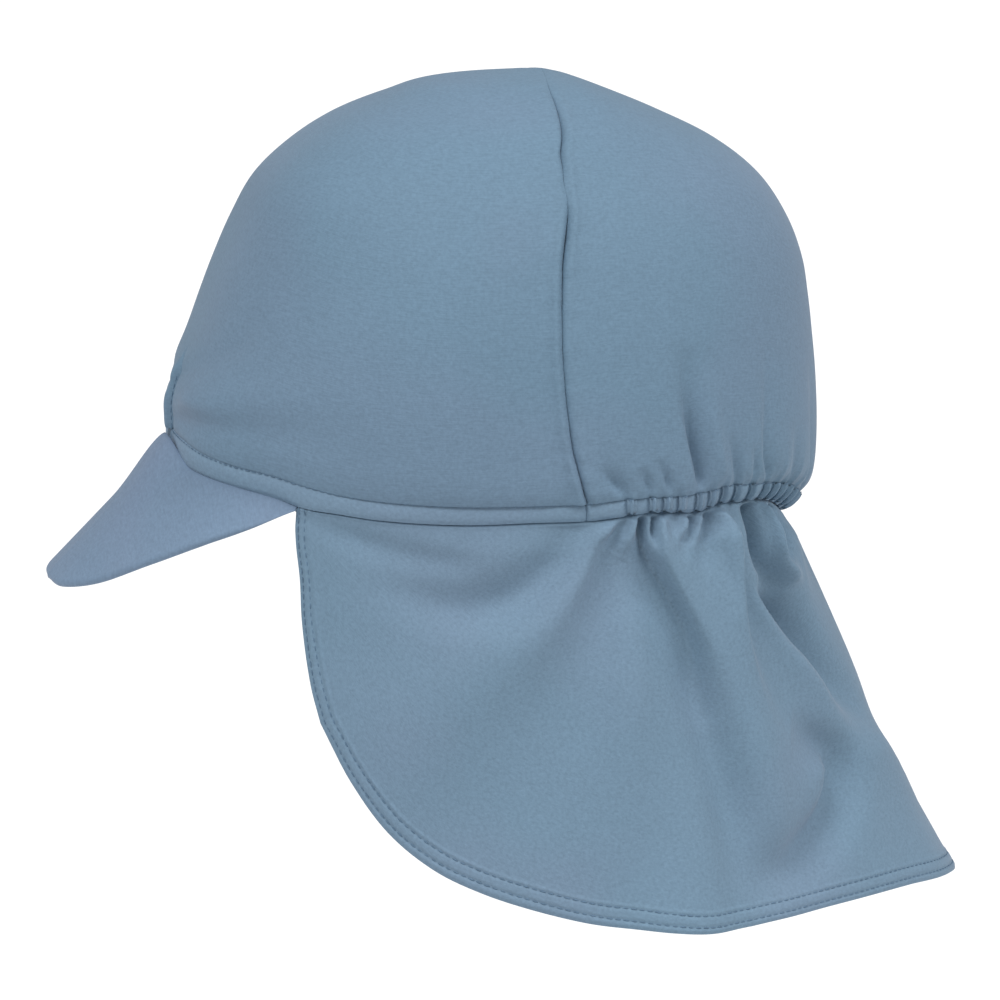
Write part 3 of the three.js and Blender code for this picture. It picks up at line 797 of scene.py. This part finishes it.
def stitch_rows(name, paths, pitch, radius):
    """One mesh of the stitches along paths given as rows of points in millimetres."""
    places = np.concatenate(paths) * MM
    ends = np.cumsum([len(path) for path in paths])
    steps = [(i, i + 1) for i in range(len(places) - 1) if i + 1 not in ends]
    path_mesh = bpy.data.meshes.new(name + " path")
    path_mesh.from_pydata(places.tolist(), steps, [])
    guide = add_object(name + " path", path_mesh)
    rows = guide.modifiers.new("stitch row", "NODES")
    rows.node_group = stitch_nodes
    settings = {
        "Pitch": pitch * MM,
        "Stitch length": STITCH_LENGTH * MM,
        "Thread radius": radius * MM,
        "Wobble seed": STITCH_SEED,
        "Thread": shade_darkened_thread,
    }
    for item in stitch_nodes.interface.items_tree:
        if item.item_type == "SOCKET" and item.in_out == "INPUT" and item.name in settings:
            rows[item.identifier] = settings[item.name]
    bpy.context.view_layer.update()
    shaped = guide.evaluated_get(bpy.context.evaluated_depsgraph_get())
    mesh = bpy.data.meshes.new_from_object(shaped)
    mesh.name = name
    mesh.shade_smooth()
    guide.modifiers.clear()
    bpy.data.objects.remove(guide)
    stitches = add_object(name, mesh)
    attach(stitches, "root")
    return stitches


band_paths = [
    band_surface(np.linspace(-89.6, 89.6, 500), BAND_STITCH_SHARE, True, BAND_STITCH_OUT),
    band_surface(np.linspace(90.4, 269.6, 900), BAND_STITCH_SHARE, False, BAND_STITCH_OUT),
]
stitch_rows("band_stitches", band_paths, STITCH_PITCH, BAND_THREAD_RADIUS)

# The dart's darkened stitches also lay painted shade along the dart's crease.
dart_rows = np.interp(np.linspace(6, 24, 60), CROWN_SECTIONS["height"], CROWN_SECTIONS["row"])
dart_path = crown_surface(DART_STITCH_ANGLE, dart_rows, DART_STITCH_OUT)
stitch_rows("dart_stitches", [dart_path], STITCH_PITCH, THREAD_RADIUS)

# Peak.
# A stiff curved blank covered with the same knit and sewn under the front of the band. Its cover
# is pulled smooth round the free edge.
PEAK_BLUE = (0.140, 0.208, 0.298)
PEAK_HALF_ANGLE = 34.8
PEAK_ROOT_OUT = -0.6
PEAK_THICKNESS = 2.6
PEAK_CAMBER = 3.0
PEAK_CAMBER_POWER = 0.42
PEAK_DROP = 0.12
PEAK_LAP_RISE = 5.6
PEAK_LAP_OUT = 2.0
PEAK_LAP_ANGLE = 11.5
PEAK_LAP_FADE = 9.5
PEAK_LAP_REACH = 0.5
PEAK_END_SHARE = 0.16
PEAK_END_THIN = 0.2
PEAK_ROOT_SHARE = 0.12
PEAK_ROOT_THIN = 0.4
PEAK_STREAKS = (300, 2400)
PEAK_EDGE = {
    "share": [0, 0.22, 0.42, 0.62, 0.8, 0.92, 1],
    "x": [0, 13, 26, 39, 49.5, 55.2, 56.8],
    "y": [-128.6, -126.6, -118.6, -106.2, -92, -76.4, -65.6],
    "z": [-27.6, -27.4, -24.2, -17, -9.8, -4.2, -0.2],
}
peak_knit = swim_knit("peak knit", PEAK_BLUE, PEAK_STREAKS)


def peak_surface(across, along):
    """Points on the top of the peak, from its seam (along 0) to its free edge (along 1)."""
    share = np.minimum(np.abs(across), 1)
    angle = across * PEAK_HALF_ANGLE
    lap = 1 - smooth_step((np.abs(angle) - PEAK_LAP_ANGLE + PEAK_LAP_FADE) / PEAK_LAP_FADE)
    root = crown_surface(angle, 0.0, PEAK_ROOT_OUT + PEAK_LAP_OUT * lap)
    root[..., 2] -= PEAK_DROP
    edge = np.stack([column_at(PEAK_EDGE, share, name) for name in ("x", "y", "z")], axis=-1)
    edge[..., 0] *= np.sign(across)
    points = root + (edge - root) * along[..., None]
    rounded = np.sin(np.pi * np.clip(along, 0, 1) ** PEAK_CAMBER_POWER)
    points[..., 2] += PEAK_CAMBER * rounded * (1 - share * share)
    points[..., 2] += PEAK_LAP_RISE * lap * (1 - smooth_step(along / PEAK_LAP_REACH))
    return points


def distance_to_line(points, line):
    """Distance of each point of a grid to a polyline."""
    starts = line[:-1]
    runs = line[1:] - starts
    squares = np.maximum(np.sum(runs * runs, axis=-1), 1e-12)
    nearest = np.full(points.shape[:-1], np.inf)
    for start, run, square in zip(starts, runs, squares):
        off = points - start
        share = np.clip(off @ run / square, 0, 1)
        gap = np.linalg.norm(off - share[..., None] * run, axis=-1)
        nearest = np.minimum(nearest, gap)
    return nearest


def peak_piece():
    """The peak as one grid that runs over the top, round the free edge and back underneath."""
    radius = PEAK_THICKNESS / 2
    across = spaced((-1, -0.96, 10), (-0.96, 0.96, 120), (0.96, 1, 10))
    along = spaced((0, 0.9, 40), (0.9, 0.985, 10), (0.985, 1, 8))
    across_grid, along_grid = np.meshgrid(across, along)
    top = peak_surface(across_grid, along_grid)
    normals = -grid_normals(top)
    rim = peak_surface(np.linspace(-1, 1, 240), np.ones(240))
    inset = np.clip(radius - distance_to_line(top, rim), 0, radius)
    half = np.sqrt(np.maximum(radius ** 2 - inset ** 2, 0))
    thin = PEAK_END_THIN + (1 - PEAK_END_THIN) * smooth_step((1 - np.abs(across_grid)) / PEAK_END_SHARE)
    half *= thin
    from_root = smooth_step(along_grid / PEAK_ROOT_SHARE)
    below = half * (PEAK_ROOT_THIN + (1 - PEAK_ROOT_THIN) * from_root)
    middle = top - (normals * radius) * thin[..., None]
    upper = middle + normals * half[..., None]
    lower = middle - normals * below[..., None]
    points = np.concatenate([upper, lower[::-1][1:]])
    index = np.arange(points.size // 3).reshape(points.shape[:2])
    on_top = index[:len(along)]
    beneath = index[::-1][:len(along)]
    ends = np.stack([
        quads(on_top[:-1, 0], beneath[:-1, 0], beneath[1:, 0], on_top[1:, 0]),
        quads(on_top[1:, -1], beneath[1:, -1], beneath[:-1, -1], on_top[:-1, -1]),
    ], axis=1)
    faces = np.concatenate([
        quads(index[:-1, :-1], index[1:, :-1], index[1:, 1:], index[:-1, 1:]),
        ends.reshape(-1, 4),
        quads(index[0, :-1], index[0, 1:], index[-1, 1:], index[-1, :-1]),
    ])
    places = points.reshape(-1, 3) * MM
    piece = mesh_piece("peak_cover", places, faces, places[:, :2], peak_knit)
    merge_doubles(piece)
    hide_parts("peak")


peak_piece()

# Neck flap.
# One sheet of the knit, sewn under the hem from one end of the peak round the back to the other.
# The elastic gathers its top behind the ears, so it falls in folds, and its free edge is turned
# in and sewn with two rows of stitches.
FLAP_BLUE = (0.130, 0.209, 0.287)
FLAP_LENGTH = 120
FLAP_TUCK = 0.1
FLAP_ALLOWANCE_TUCK = 1.4
FLAP_ALLOWANCE_END = 0.008
FLAP_ALLOWANCE_BLEND = 0.012
FLAP_TOP_DROP = 0.35
FLAP_FOLDS_FULL_BY = 0.014
ALLOWANCE_DROP = 0.013
END_SHIFT_WIDTH = 14
FLAP_SWELL_BY = 0.08
HEM_EXTRA = 0.5
SWEEP_BACK_BY = 0.5
FLAP_STREAKS = (900, 1500)
# The free edge by angle, a step past the middle of the back so that it runs smoothly there.
FLAP_HEM = {
    "angle": [34, 37, 40, 44, 50, 57, 64, 72, 81, 90, 100, 110, 120, 130, 140, 150, 160, 170, 180, 190],
    "x": [57, 60.5, 64, 68, 72, 76, 79, 82, 84.5, 86, 86.5, 84.5, 79.5, 72.5, 63.5, 54.5, 41.5, 23.5, 0,
          -23.5],
    "y": [-65.8, -62.8, -58, -51.4, -41.6, -29.6, -17, -2.8, 12, 25, 37, 49, 61, 72.5, 85, 100, 116.5,
          134, 142.6, 134],
    "z": [-42, -52, -63, -76.5, -90.8, -101.4, -108, -113, -116.8, -118.8, -120.7, -122.1, -122.4, -122.1,
          -122.1, -121.9, -122.6, -124.8, -127.4, -124.8],
}
# Where the flap's front edge runs, by share of the drop, and how deep a strip of the flap above
# its lower edge is drawn finely, by angle.
FRONT_EDGE = {
    "drop": [0, 0.236, 0.427, 0.667, 0.91, 1.0],
    "angle": [34.6, 34.8, 35.5, 36.0, 37.8, 39.3],
}
FINE_STRIP = {
    "angle": [34, 37, 40, 44, 50, 57, 64, 81, 180],
    "depth": [0.42, 0.36, 0.27, 0.19, 0.13, 0.105, 0.09, 0.08, 0.075],
}
RIGHT_SWEEP_BACK = {
    "angle": [34, 37, 40, 44, 50, 57, 64, 72, 81, 180],
    "back": [27, 26, 24, 21.5, 17, 11, 5, 1, 0, 0],
}
FLAP_SWEEP = {
    "angle": [34, 90, 105, 140, 180],
    "swell": [0.4, 1, 2, 2.6, 3.2],
    "power": [1, 1, 1, 1.04, 1.12],
    "flare": [1, 2.3, 1.9, 1.1, 1.12],
}
# Folds of the flap, as those of the crown but with the share of the drop for the height.
FLAP_FOLDS = [
    (0, 2, [(97.4, 0, 5, 1.8, 2.4), (93.6, 0.032, 6, 2, 4.2), (91, 0.06, 7, 2.6, 4.6),
        (88.2, 0.1, 8, 3.6, 4.8), (84.4, 0.164, 9, 5, 5), (78.6, 0.253, 10, 8, 5),
        (70, 0.38, 12, 11, 4.2), (62, 0.52, 13, 13, 3.4), (55, 0.68, 14, 13, 2.6),
        (50, 0.85, 14, 13, 1.6), (47, 1.02, 14, 13, 0.6)]),
    (0, 2, [(93, 0, 6, 5, -2), (87, 0.07, 7, 5, -4.4), (81, 0.13, 7, 6, -5), (73, 0.2, 8, 7, -4.6),
        (63, 0.23, 9, 8, -3.4), (54, 0.215, 9, 8, -2), (46, 0.19, 9, 8, 0)]),
    (0, 2, [(97.8, 0, 1.4, 3, -1.6), (95.2, 0.038, 1.6, 5, -2), (92, 0.07, 2, 6, -2.1),
        (91.8, 0.14, 4, 7, -2.4), (91.4, 0.2, 7, 8, -1.8), (90, 0.28, 9, 9, -0.7), (87, 0.38, 9, 9, 0)]),
    (0, 2, [(101.2, 0, 1.6, 1.3, 2.6), (100.3, 0.03, 1.8, 1.5, 2.4), (98.4, 0.064, 2.2, 2.2, 1.2),
        (96.6, 0.09, 2.4, 2.4, 0)]),
    (0, 1.05, [(102.8, 0, 1.2, 1.1, -4.4), (102.6, 0.046, 2.6, 1.1, -5.2), (103.2, 0.09, 5, 1, -5),
        (105.4, 0.14, 7, 1, -4.8), (108.4, 0.198, 8, 1.1, -4.4), (110.8, 0.253, 9, 1.3, -4),
        (113.2, 0.32, 9, 1.9, -3.4), (115, 0.42, 9, 3.4, -2), (116, 0.52, 8, 5, 0)]),
    (0, 2, [(96.6, 0.05, 3, 2, 0), (98.6, 0.11, 5, 4, -1.4), (102, 0.18, 7, 4, -1.8),
        (107.6, 0.29, 9, 5, -1.8), (112, 0.4, 9, 6, -3.8), (116.4, 0.56, 10, 8, -4.8),
        (119.6, 0.74, 10, 9, -5.4), (119.8, 0.9, 10, 11, -3.8), (118.6, 1.03, 10, 13, -1.6)]),
    (0, 2, [(104.4, 0, 0.9, 1, 1.8), (103.5, 0.045, 1, 1, 1.8), (104.3, 0.086, 1, 1.1, 1),
        (105.8, 0.12, 1.2, 1.2, 0)]),
    (0, 2, [(105.9, 0, 1, 1, -2.6), (105, 0.04, 1, 1.1, -2.6), (105.3, 0.074, 1, 1, -0.8),
        (105.8, 0.09, 1, 1, 0)]),
    (0, 2, [(107, 0, 1.1, 2.4, 3.2), (106, 0.042, 1.2, 4, 3.4), (105.8, 0.078, 1.4, 6, 3.2),
        (107.4, 0.13, 1.4, 9, 2.8), (110.6, 0.198, 1.5, 10, 2.6), (113, 0.253, 1.6, 9, 2.6),
        (115.8, 0.327, 2.6, 9, 2.8), (119, 0.43, 6, 9, 3), (123.6, 0.56, 8, 9, 3),
        (128.4, 0.68, 8, 9, 2.6), (132, 0.8, 8, 9, 1.2), (134, 0.9, 9, 9, 0)]),
    (0, 2, [(113.6, 0, 2.2, 1, 2.2), (112.7, 0.03, 2.6, 1.2, 2.2), (110.2, 0.054, 2, 2, 1),
        (108.6, 0.068, 2, 2, 0)]),
    (0, 2, [(115.2, 0, 0.9, 1.4, -2), (114, 0.036, 1.1, 2, -1.9), (111.6, 0.066, 1.8, 2.6, -1.1),
        (109.6, 0.11, 3, 3, 0)]),
    (0, 2, [(118, 0, 1.4, 1.5, 2.1), (115.7, 0.04, 1.8, 2, 1.8), (113.5, 0.064, 2.2, 2.2, 0.8),
        (112, 0.085, 2.4, 2.4, 0)]),
    (0, 2, [(120.4, 0, 1.6, 1.6, -2.6), (118.6, 0.04, 2.2, 2, -2.2), (117.4, 0.085, 3, 3, -1.4),
        (116, 0.15, 4, 4, 0)]),
    (0, 2, [(122, 0, 2, 1.3, 2.6), (123.7, 0.022, 4, 1.4, 4), (124.6, 0.05, 6, 1.4, 4.8),
        (124.8, 0.086, 7, 1.5, 5), (124.6, 0.148, 8, 1.5, 5), (124.4, 0.208, 9, 1.6, 4.7),
        (124.6, 0.281, 9, 2.4, 4), (125.6, 0.355, 9, 3.2, 3.2), (127.6, 0.443, 9, 4.4, 2.4),
        (131.6, 0.55, 9, 6, 1.5), (137, 0.66, 8, 6, 0.6), (142, 0.74, 8, 8, 0)]),
    (0, 2, [(136.4, 0, 4, 2.2, -6.2), (136, 0.05, 4.4, 2.2, -7.6), (136, 0.1, 4.6, 2.4, -7.4),
        (137.6, 0.15, 4.4, 2.8, -6.2), (142, 0.19, 4, 3.4, -4.2), (148, 0.22, 4, 4, 0)]),
    (0, 2, [(133.2, 0.19, 3, 4, 0), (138.4, 0.25, 5, 7, -7.6), (144, 0.298, 6, 9, -11.8),
        (148.8, 0.347, 6, 9, -11.2), (154.4, 0.431, 6, 8, -8), (159.2, 0.519, 7, 9, -5),
        (164, 0.64, 8, 10, 0)]),
    (0, 2, [(141.4, 0, 1.8, 2, 2.6), (141, 0.05, 1.8, 2.2, 3.8), (141, 0.1, 1.8, 2.4, 4.2),
        (143.4, 0.145, 2.2, 3, 3.2), (147.6, 0.172, 2.4, 3.4, 3.2), (154, 0.19, 3, 4, 0)]),
    (0, 2, [(148.6, 0, 2.4, 3, -4.4), (148, 0.05, 2.8, 3.4, -5.4), (148.4, 0.1, 3, 3.6, -4.4),
        (150, 0.14, 3, 4, 0)]),
    (0, 2, [(158, 0, 3, 4, 0.6), (156.4, 0.08, 3.4, 4, 0.8), (156, 0.16, 4, 4, 0.8),
        (156, 0.25, 5, 5, 0)]),
    (0, 2, [(129.4, 0.19, 2.5, 2, 0), (133.2, 0.262, 4, 2, 2.7), (140.8, 0.33, 7, 2.8, 4.2),
        (148.8, 0.415, 9, 3.8, 4.6), (154.4, 0.491, 10, 5, 4), (162.4, 0.6, 11, 6, 3.4),
        (170, 0.7, 12, 9, 1.8), (175, 0.82, 12, 9, 0)]),
    (0, 2, [(138, 0.55, 7, 6, 0), (146, 0.59, 7, 5, -4), (152.4, 0.635, 7, 5, -6.4),
        (153.6, 0.69, 7, 4.5, -7.8), (150.4, 0.77, 7, 5, -7.8), (143, 0.84, 8, 6, -6.8),
        (131, 0.89, 9, 8, -3.6), (120, 0.93, 9, 9, 0)]),
    (0, 2, [(121, 0.06, 2.5, 2.5, 0), (121.4, 0.12, 2.5, 2.5, -1.4), (122, 0.18, 3, 3, -1.2),
        (122, 0.25, 3, 3, 0)]),
    (0, 2, [(98.6, 0.2, 5, 5, 0), (97.6, 0.3, 6, 6, 1.6), (95.8, 0.42, 8, 8, 3), (93, 0.59, 10, 10, 3.4),
        (89.6, 0.79, 12, 12, 2.6), (87, 0.97, 12, 12, 1.2)]),
    (0, 2, [(38, 0.06, 6, 6, -0.8), (44, 0.078, 6, 6, -2.2), (52, 0.094, 6, 6, -2),
        (60, 0.104, 5, 5, -1.4), (68, 0.1, 5, 5, 0)]),
    (0, 2, [(168, 0, 2.6, 2.6, -2.4), (168.6, 0.08, 4, 4, -2), (170, 0.2, 5, 5, 0)]),
    (0, 2, [(180, 0, 6, 6, 1), (180, 0.2, 10, 10, 1.4), (180, 0.42, 14, 14, 0.6)]),
    (0, 2, [(180, 0.6, 16, 16, -2.4), (180, 0.9, 16, 16, -1.4)]),
]
flap_knit = swim_knit("flap knit", FLAP_BLUE, FLAP_STREAKS)


def flap_surface(angle, drop, out=0.0):
    """Points on the outside of the flap, by angle at the seam and share of the drop."""
    angle, drop = np.broadcast_arrays(np.asarray(angle, float), np.asarray(drop, float))
    side = folded_angle(angle)
    sign = side_of(angle)
    allowance = 1 - smooth_step((drop + FLAP_ALLOWANCE_END) / FLAP_ALLOWANCE_BLEND)
    top = crown_surface(side, 0.0, -FLAP_TUCK - FLAP_ALLOWANCE_TUCK * allowance)
    top[..., 2] -= FLAP_TOP_DROP
    hem_x, hem_y, hem_z = (column_at(FLAP_HEM, side, name) for name in ("x", "y", "z"))
    power, flare, swell = (
        column_at(FLAP_SWEEP, side, name) for name in ("power", "flare", "swell")
    )
    turn = np.radians(side)
    share = np.maximum(drop, 0)
    sweep = share ** power
    folds = fold_lift(FLAP_FOLDS, angle, drop, FLAP_LENGTH)
    back = column_at(RIGHT_SWEEP_BACK, side, "back") * smooth_step(share / SWEEP_BACK_BY)
    back = np.where(sign > 0, 0, back)
    lift = folds * smooth_step(share / FLAP_FOLDS_FULL_BY) + swell * smooth_step(share / FLAP_SWELL_BY)
    lift += out
    return np.stack([
        sign * (top[..., 0] + (hem_x - top[..., 0]) * share ** flare + lift * np.sin(turn)),
        top[..., 1] + (hem_y - top[..., 1]) * sweep - lift * np.cos(turn) + back,
        top[..., 2] + (hem_z - top[..., 2]) * drop,
    ], axis=-1)


def flap_grid(columns, rows):
    """Angles and drops of a grid whose last columns and lowest rows follow the free edge."""
    plain, up = np.meshgrid(columns, rows)
    side = folded_angle(plain)
    depth = column_at(FINE_STRIP, side, "depth")
    drop = np.where(up < 1, 1 - up * depth, 1 - depth - (up - 1) * (1 - depth + ALLOWANCE_DROP))
    end = column_at(FRONT_EDGE, np.clip(drop, 0, 1), "angle")
    first = FRONT_EDGE["angle"][0]
    side = side + (end - first) * hump(side - first, END_SHIFT_WIDTH)
    return np.where(plain > 180, 360 - side, side), drop


# Where the two rows of hem stitches lie, in millimetres in from the free edge.
HEM_ROWS = {
    "angle": [34, 36, 38, 41, 50, 64, 90, 112, 180],
    "outer": [0.9, 1.1, 1.3, 1.6, 2.2, 2.7, 2.3, 1.8, 2],
    "inner": [2.7, 3.1, 3.6, 4.2, 5.1, 5.9, 5.7, 5.1, 5.1],
}
HEM_STITCH_PITCH = 2.4
HEM_STITCH_OUT = 0.02
HEM_GROOVE = 0.36
HEM_GROOVE_WIDTH = 0.5
HEM_PUFF = 0.3
HEM_EDGE_ROUND = 0.55
HEM_EDGE_WIDTH = 0.7
HEM_PAST_ROW = 0.6
MARCH_STEPS = 6
ANGLE_STEP = 0.05
DROP_STEP = 0.001


def free_edge():
    """Angles and drops down the flap's left end, round its bottom and up its right end."""
    down = np.linspace(0, 1, 300)
    end = column_at(FRONT_EDGE, down, "angle")
    bottom = np.linspace(end[-1], 360 - end[-1], 2000)[1:-1]
    angle = np.concatenate([end, bottom, 360 - end[::-1]])
    drop = np.concatenate([down, np.ones(len(bottom)), down[::-1]])
    return angle, drop


def inside_edge(distance):
    """Angles and drops of a line that keeps that distance inside the free edge."""
    angle, drop = free_edge()
    along = np.gradient(flap_surface(angle, drop), axis=0)
    along /= np.linalg.norm(along, axis=-1, keepdims=True)
    step = distance / MARCH_STEPS
    for _ in range(MARCH_STEPS):
        here = flap_surface(angle, drop)
        by_angle = (flap_surface(angle + ANGLE_STEP, drop) - here) / ANGLE_STEP
        by_drop = (flap_surface(angle, drop - DROP_STEP) - here) / -DROP_STEP
        outward = np.cross(by_drop, by_angle)
        inward = np.cross(outward, along)
        inward *= (step / np.linalg.norm(inward, axis=-1))[:, None]
        moves = np.linalg.pinv(np.stack([by_angle, by_drop], axis=-1)) @ inward[..., None]
        angle = angle + moves[:, 0, 0]
        drop = drop + moves[:, 1, 0]
    return angle, drop


def edge_distance(points):
    """Distance of each point of the flap to its free edge."""
    edge = flap_surface(*free_edge())
    tree = KDTree(len(edge))
    for number, place in enumerate(edge):
        tree.insert(place, number)
    tree.balance()
    flat = points.reshape(-1, 3)
    return np.array([tree.find(place)[2] for place in flat]).reshape(points.shape[:2])


def flap_piece():
    """The flap's cloth, thicker along its turned hem and drawn in at the two rows of stitches."""
    columns = spaced((34.6, 40, 18), (40, 94, 46), (94, 150, 132), (150, 210, 40), (210, 266, 76),
                     (266, 320, 34), (320, 325.4, 14))
    rows = spaced((0, 1, 22), (1, 1.86, 74), (1.86, 2, 36))
    angle, drop = flap_grid(columns, rows)
    points = flap_surface(angle, drop)
    distance = edge_distance(points)
    side = np.clip(folded_angle(angle), HEM_ROWS["angle"][0], 180)
    outer_row = column_at(HEM_ROWS, side, "outer")
    inner_row = column_at(HEM_ROWS, side, "inner")
    hem = 1 - smooth_step(distance - inner_row - HEM_PAST_ROW)
    relief = HEM_PUFF * hem - HEM_EDGE_ROUND * hump(distance, HEM_EDGE_WIDTH)
    relief -= HEM_GROOVE * hump(distance - outer_row, HEM_GROOVE_WIDTH)
    relief -= HEM_GROOVE * hump(distance - inner_row, HEM_GROOVE_WIDTH)
    piece = cloth_wall("neck_flap_cloth", points, CLOTH + HEM_EXTRA * hem, flap_knit, relief=relief)
    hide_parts("neck_flap")
    return piece


neck_flap = flap_piece()

# The hem stitches use the same thread, darkened as painted shade of their needle holes.
edge_angle = np.clip(folded_angle(free_edge()[0]), HEM_ROWS["angle"][0], 180)
hem_paths = []
for row_name in ("outer", "inner"):
    row_angle, row_drop = inside_edge(column_at(HEM_ROWS, edge_angle, row_name))
    hem_paths.append(flap_surface(row_angle, row_drop, HEM_STITCH_OUT))
flap_stitches = stitch_rows("flap_stitches", hem_paths, HEM_STITCH_PITCH,
                            THREAD_RADIUS)
